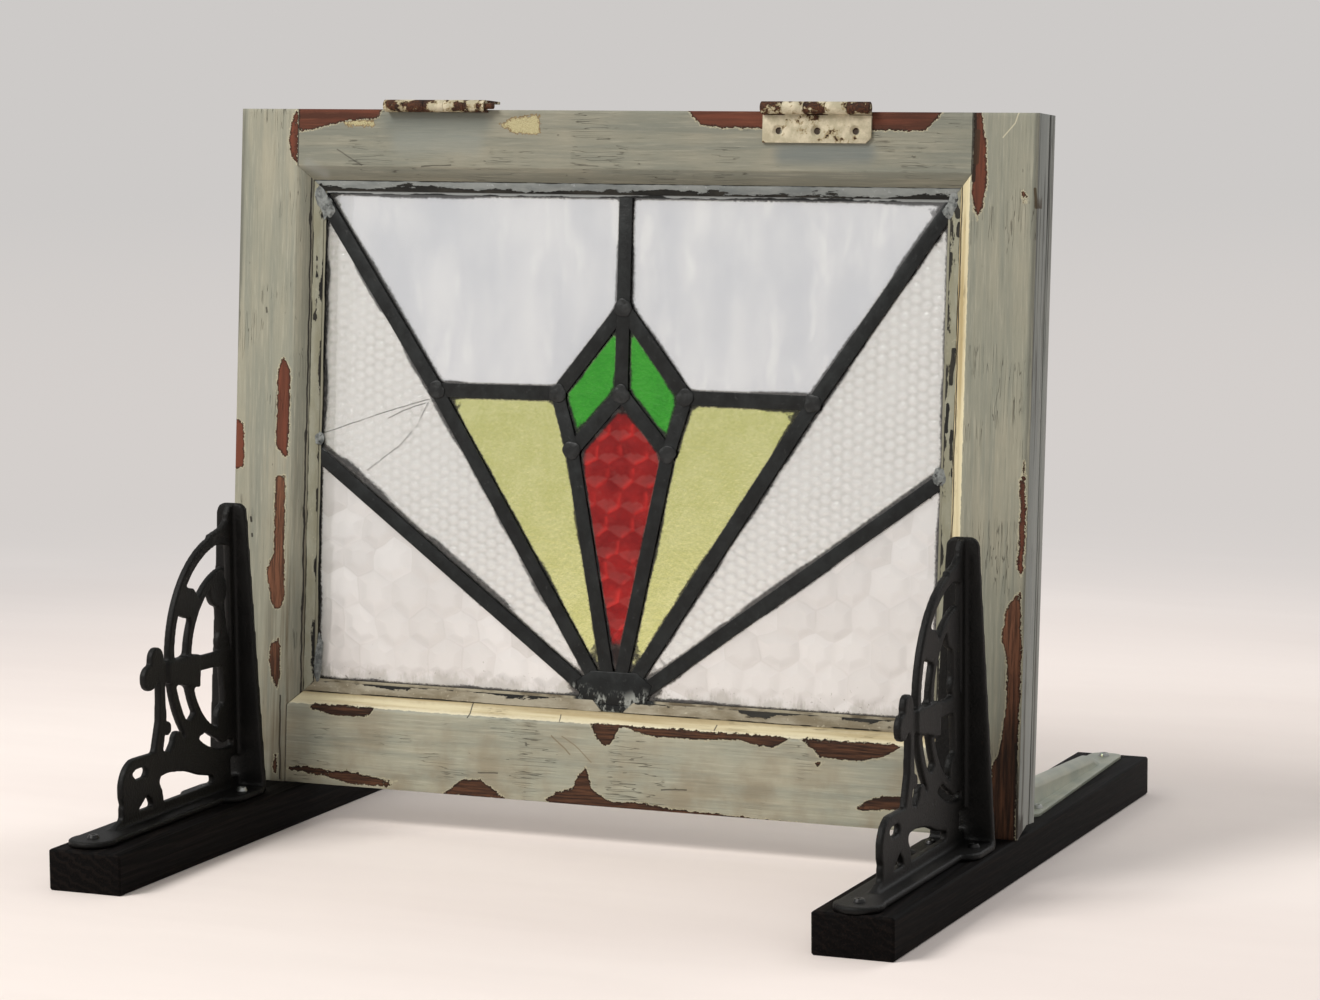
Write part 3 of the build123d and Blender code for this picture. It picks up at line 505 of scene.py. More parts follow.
# Single marks: a path, its half width in metres, its colour and how strongly it shows.
crack_ink = (34, 28, 21)
left_marks = [
    ([(-250.7, 60), (-250.2, 30), (-249.4, 2)], 0.0008, crack_ink, 0.85),
    ([(-276.9, 183.2), (-276.5, 180.6)], 0.0011, crack_ink, 0.9),
    ([(-275.8, 171.8), (-275.6, 170.2)], 0.0009, crack_ink, 0.9),
    ([(-268, 330), (-267.6, 327)], 0.0009, crack_ink, 0.7),
]
right_marks = [
    ([(288.5, 419.5), (289.6, 408)], 0.0012, (62, 50, 30), 0.9),
    ([(277, 470), (274, 461), (266, 452)], 0.0005, (196, 190, 164), 0.8),
    ([(287, 62), (288.5, 30), (289.5, 2)], 0.0011, crack_ink, 0.85),
    ([(246.4, 470), (247.4, 440), (246.6, 424)], 0.0016, crack_ink, 0.9),
    ([(248.8, 456), (248.4, 436)], 0.0022, (58, 42, 28), 0.8),
]
top_marks_and_shadows = [
    # Painted shadows below the left and right hinges, over grey marks in the paint.
    ([(-172, 460), (-106, 460)], 0.0150, (104, 110, 104), 0.75),
    ([(-165, 446), (-112, 446)], 0.0140, (132, 138, 132), 0.5),
    ([(116, 440), (172, 441)], 0.0120, (104, 112, 111), 0.7),
    # Painted shade with dirt in the right hinge's three screw holes.
    ([(109.8, 455.3), (110, 455.3)], 0.0034, (48, 32, 20), 0.95),
    ([(137.4, 455.1), (137.6, 455.1)], 0.0034, (48, 32, 20), 0.95),
    ([(164.3, 455.7), (164.5, 455.7)], 0.0034, (48, 32, 20), 0.95),
    ([(-215, 440), (-196, 430)], 0.0006, crack_ink, 0.5),
    ([(-150, 429.6), (-128, 430.6)], 0.0006, crack_ink, 0.6),
    ([(-238, 430), (-226, 424)], 0.0060, (140, 142, 134), 0.6),
]
bottom_marks = [
    ([(-104.4, 63), (-104.2, 57), (-105.5, 54)], 0.0006, crack_ink, 0.85),
    ([(-37.3, 60), (-37.0, 56)], 0.0005, crack_ink, 0.8),
    ([(77, 60), (76, 57)], 0.0006, crack_ink, 0.8),
    ([(-42, 46), (-28, 34)], 0.0006, (120, 104, 78), 0.7),
    ([(-34, 46), (-24, 40), (-12, 30)], 0.0005, (120, 104, 78), 0.6),
    ([(40, 15), (58, 16)], 0.0006, crack_ink, 0.7),
    ([(-96, 17), (-82, 17.5)], 0.0006, crack_ink, 0.6),
]
timber_paint = {
    "left_stile": old_paint(
        "sage_paint_on_left_stile", "Z", 0.945, gap_reach=0.0014, soil=0.8, marks=left_marks
    ),
    "right_stile": old_paint("sage_paint_on_right_stile", "Z", 0.915, True, 0.0006, 0.3, right_marks),
    "top_rail": old_paint("sage_paint_on_top_rail", "X", 0.85, marks=top_marks_and_shadows),
    # The bottom rail's tone is raised: cleaner paint, and painted light from the floor.
    "bottom_rail": old_paint("sage_paint_on_bottom_rail", "X", 1.045, True, marks=bottom_marks),
}
for name, paint in timber_paint.items():
    mesh = reworked(name, bevel=0.0009)
    cut_on_grid(mesh, paint_grid, *spans_of(mesh))
    flake_values(mesh, name)
    piece(f"{name}_timber", mesh, paint, "painted_wood", name, crease=30)

# Putty: hand-run fillets of linseed putty that hold the leaded panel in its rebate, painted with the sash.
# It has dried hard, cracked away from the timber and lost its skin here and there.


def old_putty(name, along, outer, inner, skin_tones, ragged_share, marks=()):
    """Putty whose inner edge has crumbled back from the came; it lies between inner and outer, in metres."""
    material, shader, place = finish_of(name, roughness=0.75, specular=0.25)
    spot, across, _, slope = sash_spot(place)
    thin = {"X": (0.3, 1, 1), "Z": (1, 1, 0.3)}[along]
    where = calc("ABSOLUTE", across) if along == "Z" else slope
    share = calc("DIVIDE", less(where, inner), outer - inner)
    cloud = grain(spot, 75, 5, 0.65, stretch=thin)
    rough_edge = grain(spot, 70, 6, 0.7, stretch=thin, offset=(4, 4, 1))
    skin = blend(rise(cloud, 0.36, 0.66), srgb(*skin_tones[0]), srgb(*skin_tones[1]))
    skin = blend(rise(grain(spot, 260, 4, 0.7), 0.58, 0.70, 0, 0.6), skin, srgb(*skin_tones[2]))
    crumbled = plus(share, swing(rough_edge, 3.2))
    crumbled = rise(crumbled, ragged_share + 0.03, ragged_share - 0.03)
    chips = rise(grain(spot, 48, 5, 0.65, stretch=thin, offset=(9, 2, 3)), 0.685, 0.70)
    split = plus(share, swing(cloud, 0.3))
    split = times(rise(split, 0.90, 0.96), rise(grain(spot, 40, 3), 0.42, 0.55))
    broken = calc("MAXIMUM", calc("MAXIMUM", crumbled, chips), split)
    for points, reach in marks:
        gap = plus(near_path(spot, points), swing(rough_edge, 0.008))
        broken = calc("MAXIMUM", broken, rise(gap, reach, reach * 0.8))
    hollow = blend(rise(cloud, 0.4, 0.7), srgb(28, 28, 26), srgb(54, 52, 46))
    height = less(times(cloud, 0.9), broken)
    surface(shader, blend(broken, skin, hollow), height, 0.0011)
    return material


# The skin of each run of putty, where it is darker, and its bloom.
blue_grey = ((138, 142, 139), (112, 117, 116), (172, 176, 176))
dull_sage = ((150, 150, 134), (134, 132, 112), (168, 164, 142))
brown_grey = ((168, 161, 142), (128, 118, 96), (200, 193, 170))
gaps_at_right = [
    ([(232, 410), (235, 402)], 0.0022),
    ([(236, 396), (236, 390)], 0.0016),
    ([(234.5, 315), (233.5, 293)], 0.0018),
    ([(231, 279), (230.5, 262)], 0.0014),
    ([(235, 262), (234.5, 244)], 0.0012),
]

# Each run lies between the rebate's edge and the sight line, from the sash's middle or up from its foot.
putty_finish = {
    "top_putty": old_putty("putty_at_top", "X", 0.4195, 0.4120, blue_grey, 0.34),
    "side_putty": old_putty("putty_at_sides", "Z", 0.2365, 0.2290, dull_sage, 0.02, gaps_at_right),
    "bottom_putty": old_putty("putty_at_bottom", "X", 0.0635, 0.0710, brown_grey, 0.06),
}
for name, finish in putty_finish.items():
    piece(f"{name}_fillet", reworked(name, bevel=0.0008), finish, "putty", name, crease=40)

# Glass: clear reamy panes at the top, small-hammered ones at the sides, large-faceted ones below, and
# rolled amber, green and ruby glass in the flower. Each pane is cut to slip into its lead.


def glass(
    name,
    tint,
    roughness,
    pattern,
    depth,
    clearness=1.0,
    through=1.0,
    dirt=0.0,
    cement=1.0,
    cracks=(),
    gloss=0.5,
):
    """Cast or rolled glass; its pattern gives a height and a shade from 0 to 1 over the pane."""
    material, shader, place = finish_of(name, roughness=roughness, specular=gloss)
    shader.inputs["IOR"].default_value = 1.5
    shader.inputs["Transmission Weight"].default_value = through
    shader.inputs["Alpha"].default_value = clearness
    spot, _, _, slope = sash_spot(place)
    height, shade = pattern(spot)
    seen = blend(shade, srgb(*tint[0]), srgb(*tint[1]))
    if dirt:
        low = rise(slope, 0.105, 0.070)
        threshold = less(0.74, times(low, 0.12))
        specks = calc("GREATER_THAN", grain(spot, 300, 4, 0.65), threshold)
        specks = times(specks, rise(grain(spot, 28, 3), 0.45, 0.6))
        seen = blend(times(specks, dirt), seen, srgb(92, 86, 74))
        wept = rise(grain(spot, 70, 4, 0.6, stretch=(1, 1, 0.12), offset=(1, 7, 2)), 0.60, 0.68)
        wept = times(wept, rise(slope, 0.088, 0.074))
        seen = blend(times(wept, 0.7 * dirt), seen, srgb(120, 114, 100))
        lime = rise(times(low, grain(spot, 60, 5, 0.7, stretch=(1, 1, 0.4))), 0.36, 0.50)
        seen = blend(times(lime, 0.6 * dirt), seen, srgb(186, 184, 174))

    # Black cement left along the cames in fuzzy smears, and a pale line of it between.
    inset = stored("rim", material)
    inside = plus(less(inset, 3.5), swing(grain(spot, 480, 5, 0.75), 4.6))
    heavy = rise(grain(spot, 16, 2, offset=(2, 3, 8)), 0.44, 0.60, 0.75, 0.9 + 1.2 * cement)
    smear = rise(less(inside, heavy), 0.7, -0.7, 0, 0.96)
    pale = rise(less(inset, 4.6), 0.4, -0.3, 0, 0.35)
    seen = blend(pale, seen, srgb(214, 208, 184))
    seen = blend(smear, seen, srgb(10, 10, 9))
    for points in cracks:
        line = rise(near_path(wandering(spot, 60, 0.0016), points), 0.00042, 0.00018)
        line = times(line, rise(grain(spot, 90, 3), 0.36, 0.5, 0.25, 0.9))
        seen = blend(line, seen, srgb(62, 56, 48))
    surface(shader, seen, height, depth)
    return material


# The figures of the glasses: each gives a height and a shade over the pane. The hammered, faceted and ruby
# figures hold painted light and shade.


def reamy(spot):
    veil = grain(spot, 26, 4, 0.55, stretch=(1, 0, 0.35))
    broad = grain(spot, 9, 2, 0.5, stretch=(1, 0, 0.6))
    figure = plus(times(veil, 0.7), times(broad, 0.5))
    wisp = grain(wandering(spot, 30, 0.012), 62, 3, 0.5, stretch=(1, 0, 0.28), offset=(3, 0, 1))
    wisp = times(rise(wisp, 0.54, 0.60), rise(veil, 0.40, 0.62, 0.0, 0.34))
    return figure, plus(rise(figure, 0.48, 0.74, 0.16, 0.8), wisp, clamp=True)


def staggered(spot, pitch, squash=1.0):
    """Rounded bumps in staggered rows, from 0 in the furrows between them to 1 on their crowns."""
    total = None
    closeness = 4 * math.pi / (math.sqrt(3) * pitch)
    for turn in (0, 60, 120):
        angle = math.radians(turn)
        heading = Vector((math.cos(angle), 0, math.sin(angle) * squash)) * closeness
        wave = calc("COSINE", vectors("DOT_PRODUCT", spot, heading))
        total = wave if total is None else plus(total, wave)
    return calc("DIVIDE", plus(total, 1.5), 4.5)


def small_hammered(spot):
    bumps = staggered(wandering(spot, 60, 0.0052), 0.0085, 1.15)
    drift = rise(grain(spot, 40, 3), 0.36, 0.60, 0.15, 1.0)
    # Crowns painted lighter and furrows painted darker: painted light and shade of the hammering.
    furrow_shade = times(rise(bumps, 0.24, 0.04), drift)
    shade = plus(0.62, times(rise(bumps, 0.1, 0.9), 0.34))
    return bumps, less(shade, times(furrow_shade, 0.42), clamp=True)


def honeycomb(spot, pitch):
    """How far out towards a six-sided cell's edge a point lies, from 0 to 1, and a number for the cell."""
    apart = put("SeparateXYZ", Vector=spot)
    found = []
    for shift in (0.0, 0.5):
        x = calc("MULTIPLY_ADD", apart.outputs[0], 1 / pitch, shift)
        z = calc("MULTIPLY_ADD", apart.outputs[2], 1 / pitch / math.sqrt(3), shift)
        column, row = calc("ROUND", x), calc("ROUND", z)
        x = calc("ABSOLUTE", less(x, column))
        z = times(calc("ABSOLUTE", less(z, row)), math.sqrt(3))
        slanted = plus(times(x, 0.5), times(z, math.sqrt(3) / 2))
        reach = times(calc("MAXIMUM", x, slanted), 2.0)
        number = plus(times(column, 3.7), calc("MULTIPLY_ADD", row, 5.3, shift))
        found.append((reach, number))
    nearer = calc("LESS_THAN", found[0][0], found[1][0])
    reach = calc("MINIMUM", found[0][0], found[1][0])
    change = less(found[0][1], found[1][1])
    number = plus(found[1][1], times(nearer, change))
    return reach, number


def large_faceted(spot):
    reach, number = honeycomb(wandering(spot, 20, 0.0150), 0.0260)
    drift = rise(grain(spot, 25, 3, offset=(1, 4, 4)), 0.44, 0.60)
    # Darker along the facet edges and lighter towards each centre: painted shade and light of the facets;
    # each facet's own tone varies at random.
    furrow_shade = times(rise(reach, 0.91, 1.0), drift)
    tone = put("TexWhiteNoise", {"noise_dimensions": "1D"}, W=number).outputs["Value"]
    tone = plus(times(tone, 0.40), times(rise(reach, 1.0, 0.2), 0.15))
    shade = less(plus(tone, 0.45), times(furrow_shade, 0.20), clamp=True)
    return rise(reach, 1.0, 0.4), shade


def orange_peel(spot):
    peel = grain(spot, 420, 2, 0.5)
    blotch = grain(spot, 60, 4, 0.6)
    return peel, rise(times(plus(peel, blotch), 0.5), 0.36, 0.64)


def dimpled(spot):
    loose = wandering(spot, 34, 0.0110)
    pitch = 0.0185
    reach = honeycomb(loose, pitch)[0]
    lower = vectors("ADD", loose, (-0.0016, 0, 0.0016))
    # Pale crescents on one side of each dimple's rim: a painted highlight.
    crescent_highlight = less(reach, honeycomb(lower, pitch)[0])
    crescent_highlight = times(rise(crescent_highlight, 0.02, 0.16), rise(reach, 0.55, 0.95))
    drift = rise(grain(spot, 70, 3, offset=(4, 4, 4)), 0.36, 0.58)
    tone = rise(grain(spot, 55, 3), 0.35, 0.65, 0.0, 0.35)
    shade = plus(tone, times(times(crescent_highlight, drift), 0.65), clamp=True)
    return rise(reach, 1.0, 0.2), shade


def rim_values(mesh):
    """Stores how far in from the pane's cut edge each point lies, in millimetres."""
    facing = sash_back.to_3x3() @ Vector((0, 1, 0))
    edges = [f for f in mesh.polygons if abs(f.normal.dot(facing)) < 0.3 and f.area > 0.00002]
    walls = [(f.center.copy(), f.normal.copy()) for f in edges]
    cut_on_grid(mesh, 0.006, *spans_of(mesh))
    rim = mesh.attributes.new("rim", "FLOAT", "POINT")
    for i, vertex in enumerate(mesh.vertices):
        rim.data[i].value = max(0.0, min((at - vertex.co).dot(out) for at, out in walls)) * 1000


left_cracks = [
    [(-143.1, 270.9), (-182.8, 259.2), (-226.9, 243.8)],
    [(-148.4, 267.3), (-165.5, 261.6), (-176.5, 256.1)],
    [(-146.1, 268.1), (-153.4, 252.7), (-166.9, 238.4), (-191.9, 219.4)],
]
hammered = ((223, 223, 218), (250, 251, 248))
reamed = ((222, 227, 233), (252, 254, 255))
faceted = ((222, 219, 215), (255, 254, 252))
straw = ((222, 225, 146), (236, 238, 168))
grass = ((52, 172, 40), (72, 192, 54))
ruby = ((146, 0, 0), (220, 44, 38))
pane_glass = {
    "upper": glass("clear_reamy_glass", reamed, 0.06, reamy, 0.0025, 0.72, 0.66),
    "left_side": glass(
        "cracked_hammered_glass", hammered, 0.1, small_hammered, 0.0006, 0.8, 0.68, 0.4, 1.8, left_cracks
    ),
    "side": glass("clear_hammered_glass", hammered, 0.1, small_hammered, 0.0006, 0.8, 0.68, 0.4),
    "lower": glass("clear_faceted_glass", faceted, 0.07, large_faceted, 0.0010, 0.85, 0.58, 0.9),
    "amber": glass("straw_glass", straw, 0.25, orange_peel, 0.0005),
    "green": glass("green_glass", grass, 0.25, orange_peel, 0.0005, gloss=0.3),
    "red": glass("ruby_glass", ruby, 0.2, dimpled, 0.0009, gloss=0.12),
}
for name in sorted(nodes):
    if name.endswith("_pane"):
        kind = name.replace("left_", "").replace("right_", "").replace("_pane", "")
        slot = f"{kind}_glass" if kind in ("amber", "green", "red") else "clear_glass"
        mesh = reworked(name, bevel=0.0002)
        rim_values(mesh)
        finish = pane_glass["left_side" if name == "left_side_pane" else kind]
        piece(f"{name}_glass", mesh, finish, slot, name, crease=30)

# Cames: drawn lead strips of H section round every pane, soldered where they meet. The lead has gone
# nearly black, with paler scuffs, and stands a little crowned between its edges.


def dark_lead():
    material, shader, place = finish_of("weathered_lead", roughness=0.46, metallic=0.1, specular=0.3)
    spot, across, _, slope = sash_spot(place)
    cloud = grain(spot, 75, 5, 0.65)
    scuff = rise(grain(spot, 240, 5, 0.7), 0.60, 0.72, 0, 0.35)
    tone = blend(rise(cloud, 0.35, 0.7), srgb(18, 20, 20), srgb(33, 36, 36))
    tone = blend(scuff, tone, srgb(74, 76, 75))
    over_hub = rise(near_path(spot, [(-27, 74), (-17, 69), (-4, 68), (10, 67), (19, 71)]), 0.012, 0.003)
    scraped = times(over_hub, rise(grain(spot, 170, 6, 0.75, stretch=(1, 1, 0.5)), 0.48, 0.57))
    tone = blend(times(scraped, 0.9), tone, srgb(166, 170, 164))

    # Putty smeared over the border cames: blue-grey in gaps along the top, brownish along the foot.
    smeared = plus(slope, swing(grain(spot, 55, 5, 0.65, stretch=(0.35, 1, 1)), 0.011))
    tone = blend(rise(smeared, 0.4104, 0.4109), tone, srgb(140, 144, 143))
    beside = swing(grain(spot, 60, 5, 0.65, stretch=(1, 1, 0.3)), 0.0034)
    beside = plus(calc("ABSOLUTE", across), beside)
    tone = blend(rise(beside, 0.2272, 0.2275), tone, srgb(134, 132, 114))
    ragged = grain(spot, 120, 5, 0.65, stretch=(0.3, 1, 1), offset=(5, 1, 1))
    low = plus(slope, swing(ragged, 0.0030))
    low = times(rise(low, 0.0739, 0.0736), rise(calc("ABSOLUTE", across), 0.028, 0.032))
    foot_putty = blend(rise(ragged, 0.42, 0.62), srgb(164, 156, 134), srgb(104, 94, 74))
    tone = blend(low, tone, foot_putty)
    height = plus(cloud, times(scuff, 0.4))
    surface(shader, tone, plus(height, times(scraped, 0.6)), 0.0008)
    return material


lead_finish = dark_lead()
for name in sorted(nodes):
    if name.endswith(("_came", "_cames")) or name == "hub_plate":
        mesh = reworked(name, bevel=0.0007, segments=3)
        piece(f"{name}_lead", mesh, lead_finish, "lead", name, crease=50)

# Solder: a flattened blob of tinman's solder run over each meeting of the cames. Each is domed and
# uneven at its rim, and has dulled to nearly the tone of the lead.


def solder_blob(centre, radius, height, seed):
    """One run of solder, its rim uneven and its top domed."""
    bm = bmesh.new()
    bmesh.ops.create_icosphere(bm, subdivisions=4, radius=1.0)
    for v in bm.verts:
        lump = noise.noise(v.co * 1.3 + Vector((seed, seed * 2, 0)))
        v.co *= 1 + 0.24 * lump
        v.co.x *= radius
        v.co.z *= radius
        v.co.y *= height
    turn = Matrix.Rotation(-sash_lean, 4, "X")
    bmesh.ops.transform(bm, matrix=Matrix.Translation(centre) @ turn, verts=bm.verts)
    return bm


def solder_lumps():
    """A blob at each joint of the CAD node."""
    bm = bmesh.new()
    bm.from_mesh(nodes["solder_joints"].data)
    bmesh.ops.remove_doubles(bm, verts=bm.verts, dist=0.00002)
    spare = set(bm.verts)
    blobs = []
    for start in sorted(bm.verts, key=lambda v: (round(v.co.x, 5), round(v.co.z, 5))):
        if start not in spare:
            continue
        island, front = {start}, [start]
        while front:
            for edge in front.pop().link_edges:
                fresh = [v for v in edge.verts if v not in island]
                island.update(fresh)
                front += fresh
        spare -= island
        low, high = (Vector([pick(v.co[i] for v in island) for i in range(3)]) for pick in (min, max))
        seed = 1.7 * (len(blobs) + 1)
        blobs.append(solder_blob((low + high) / 2, (high.x - low.x) * 0.46, 0.00075, seed))
    bm.free()
    return blobs


def gathered(name, lumps):
    """Lumps put together as one smooth mesh."""
    whole = bmesh.new()
    for lump in lumps:
        part = bpy.data.meshes.new("part")
        lump.to_mesh(part)
        lump.free()
        whole.from_mesh(part)
        bpy.data.meshes.remove(part)
    for face in whole.faces:
        face.smooth = True
    mesh = bpy.data.meshes.new(name)
    whole.to_mesh(mesh)
    whole.free()
    return mesh


def dull_solder():
    material, shader, place = finish_of("dull_solder", roughness=0.45, metallic=0.3)
    cloud = rise(grain(place, 170, 4), 0.4, 0.7)
    surface(shader, blend(cloud, srgb(22, 24, 24), srgb(42, 44, 44)), grain(place, 240, 4), 0.0005)
    return material


piece("solder_runs", gathered("solder", solder_lumps()), dull_solder(), "lead", "solder_joints")

# Cement: grey glazing cement dabbed over the came ends in the top corners and at the ends of the lower
# rays, worked down by hand and cracked where it dried.


def cement_dab(across, slope, half_length, half_width, thickness, turn, seed):
    """A flattened lump on the face of the panel, its long way turned from upright."""
    bm = bmesh.new()
    bmesh.ops.create_icosphere(bm, subdivisions=5, radius=1.0)
    for v in bm.verts:
        broad = noise.noise(v.co * 1.3 + Vector((seed, 0, seed)))
        small = noise.noise(v.co * 3.1 + Vector((0, seed, 0)))
        v.co *= 1 + 0.35 * (broad + 0.3 * small)
        v.co = Vector((v.co.x * half_width, v.co.y * thickness, v.co.z * half_length))
    place = sash_back @ Matrix.Translation((across, panel_face, slope))
    bmesh.ops.transform(bm, matrix=place @ Matrix.Rotation(math.radians(turn), 4, "Y"), verts=bm.verts)
    return bm


def grey_cement():
    material, shader, place = finish_of("grey_cement", roughness=0.7, specular=0.3)
    cloud = grain(place, 190, 5, 0.7)
    tone = blend(rise(cloud, 0.36, 0.62), srgb(84, 88, 87), srgb(136, 140, 138))
    dark = rise(grain(place, 260, 4, 0.7, offset=(3, 1, 4)), 0.58, 0.66)
    surface(shader, blend(dark, tone, srgb(46, 47, 46)), cloud, 0.0004)
    return material


# Each dab: place across and up the slope, half length, half width, thickness, turn and seed.
panel_face = 0.0088
dabs = (
    (-0.2318, 0.4070, 0.0150, 0.0062, 0.0016, -24, 1.3),
    (-0.2262, 0.4015, 0.0080, 0.0050, 0.0014, -30, 4.1),
    (0.2300, 0.4070, 0.0080, 0.0048, 0.0014, 28, 7.7),
    (0.2335, 0.4140, 0.0060, 0.0070, 0.0014, 70, 2.9),
    (-0.2292, 0.2400, 0.0050, 0.0034, 0.0012, 10, 5.2),
    (0.2275, 0.2318, 0.0062, 0.0046, 0.0013, 0, 8.6),
    (-0.2258, 0.0860, 0.0160, 0.0030, 0.0010, 2, 3.3),
)
piece("cement_dabs", gathered("cement", [cement_dab(*dab) for dab in dabs]), grey_cement(), "putty")

# Hinges: two steel butts whose fixed leaves are let into the top edge. The leaves that were screwed to
# the frame are loose on their pins. All of it is rusty, with cream paint left on it in patches.


def rusty_paint(name, paint_share):
    material, shader, place = finish_of(name, roughness=0.75, specular=0.25)
    cloud = grain(place, 90, 5, 0.65)
    fine = grain(place, 900, 3, 0.6)
    rust = blend(rise(fine, 0.35, 0.7), srgb(48, 29, 19), srgb(92, 56, 34))
    rust = blend(rise(cloud, 0.48, 0.66, 0, 0.8), rust, srgb(28, 20, 16))
    paint = blend(rise(cloud, 0.3, 0.6), srgb(214, 204, 178), srgb(176, 168, 142))
    ragged = grain(place, 75, 6, 0.7, offset=(2, 5, 1))
    left = rise(ragged, paint_share + 0.008, paint_share - 0.008)
    thick = rise(ragged, paint_share - 0.01, paint_share - 0.06)
    paint = blend(thick, srgb(150, 134, 100), paint)
    height = plus(left, times(fine, 0.7))
    surface(shader, blend(left, rust, paint), height, 0.0006)
    return material


leaf_finish = rusty_paint("cream_paint_on_rust", 0.60)
barrel_finish = rusty_paint("rust_with_cream_scraps", 0.50)
hinge_pieces = [
    f"{hand}_hinge_{part}" for part in ("fixed_leaf", "free_leaf", "pin") for hand in ("left", "right")
]
for name in hinge_pieces + ["hinge_screws"]:
    finish = leaf_finish if name == "right_hinge_free_leaf" else barrel_finish
    body = name.replace("hinge_", "") if "free" in name else "stand_and_sash"
    piece(f"{name}_worn", reworked(name, bevel=0.0003), finish, "rusty_steel", name, body=body, crease=40)

# Scroll brackets: grey-iron castings with a pierced web of rings and scrolls between an upright plate
# and a base plate, japanned black, their corners rounded by the sand mould.


def cast_skin(name, voxel, rounds):
    """A CAD node's mesh rebuilt as one skin with the soft corners of a casting."""
    mesh = reworked(name, bevel=0)
    rough = bpy.data.objects.new("rough_casting", mesh)
    bpy.context.scene.collection.objects.link(rough)
    remesh = rough.modifiers.new("skin", "REMESH")
    remesh.mode = "VOXEL"
    remesh.voxel_size = voxel
    graph = bpy.context.evaluated_depsgraph_get()
    skin = bpy.data.meshes.new_from_object(rough.evaluated_get(graph))
    bpy.data.objects.remove(rough)
    bm = bmesh.new()
    bm.from_mesh(skin)
    for _ in range(rounds):
        bmesh.ops.smooth_vert(
            bm, verts=bm.verts, factor=0.5, use_axis_x=True, use_axis_y=True, use_axis_z=True
        )
    for face in bm.faces:
        face.smooth = True
    bm.to_mesh(skin)
    bm.free()
    return skin


def black_iron():
    material, shader, place = finish_of("japanned_iron", roughness=0.5, specular=0.22)
    sand = grain(place, 700, 3, 0.6)
    cloud = grain(place, 40, 4, 0.6)
    tone = blend(rise(cloud, 0.35, 0.7), srgb(7, 7, 6), srgb(15, 14, 12))
    worn = rise(grain(place, 120, 5, 0.7), 0.66, 0.72, 0, 0.6)
    surface(shader, blend(worn, tone, srgb(36, 26, 20)), sand, 0.0005)
    return material


iron_finish = black_iron()
for hand in ("left", "right"):
    name = f"{hand}_scroll_bracket"
    piece(f"{name}_casting", cast_skin(name, voxel=0.0011, rounds=3), iron_finish, "black_iron", name)

# Rear brackets: pressed sheet-steel shelf brackets with a swaged rib, finished in pale grey-green enamel.
# Each stands on the rear half of a foot with its upright against the back of a stile.


def grey_enamel():
    material, shader, place = finish_of("grey_green_enamel", roughness=0.32, specular=0.5)
    cloud = grain(place, 35, 4, 0.6)
    tone = blend(rise(cloud, 0.35, 0.7), srgb(150, 156, 142), srgb(172, 174, 156))
    surface(shader, tone, grain(place, 500, 2), 0.00015)
    return material


enamel_finish = grey_enamel()
for hand in ("left", "right"):
    name = f"{hand}_rear_bracket"
    piece(f"{name}_pressing", reworked(name), enamel_finish, "pressed_steel", name, crease=50)

# Stand screws: cross-head screws through the brackets into the feet, bright zinc ones behind and one in
# the left casting's heel, the rest blacked over with the castings. Their shanks end out of sight.


def zinc_or_blacked():
    material, shader, place = finish_of("zinc_and_blacked_screws", roughness=0.35, metallic=0.9)
    from_bright = vectors("DISTANCE", place, (-0.2475, -0.084, 0.03))
    depth = put("SeparateXYZ", Vector=place).outputs[1]
    behind_sash = calc("GREATER_THAN", depth, 0.0)
    bright = calc("MAXIMUM", behind_sash, calc("LESS_THAN", from_bright, 0.008))
    join(times(bright, 0.9), shader.inputs["Metallic"])
    surface(shader, blend(bright, srgb(16, 15, 14), srgb(182, 184, 180)), grain(place, 600, 2), 0.0001)
    return material


def without_shanks(mesh, bottom):
    """Cuts a mesh off below a level and closes it there."""
    bm = bmesh.new()
    bm.from_mesh(mesh)
    everything = bm.verts[:] + bm.edges[:] + bm.faces[:]
    cut = bmesh.ops.bisect_plane(
        bm, geom=everything, plane_co=(0, 0, bottom), plane_no=(0, 0, 1), clear_inner=True
    )
    rim = [e for e in cut["geom_cut"] if isinstance(e, bmesh.types.BMEdge)]
    bmesh.ops.holes_fill(bm, edges=rim, sides=0)
    bm.to_mesh(mesh)
    bm.free()
    return mesh


screw_finish = zinc_or_blacked()
for hand in ("left", "right"):
    name = f"{hand}_stand_screws"
    mesh = without_shanks(reworked(name, bevel=0.0003), foot_top - 0.001)
    piece(f"{name}_heads", mesh, screw_finish, "screw_steel", name, crease=40)

# The floor, light and camera of the view: a pale cloth floor that runs back out of sight, one large
# soft light from the upper left front, and even light from all round.
far_pale = srgb(205, 202, 200)


def shown_instead(share, lit, glow, end):
    """Mixes a plain glow over what is lit, by a share, for what the camera sees itself or through glass."""
    rays = put("LightPath", tree=end.id_data)
    direct = calc("MAXIMUM", rays.outputs["Is Camera Ray"], rays.outputs["Is Transmission Ray"])
    pick = put("MixShader", i0=times(share, direct), i1=lit.outputs[0], i2=glow.outputs[0])
    join(pick.outputs[0], end.inputs["Surface"])


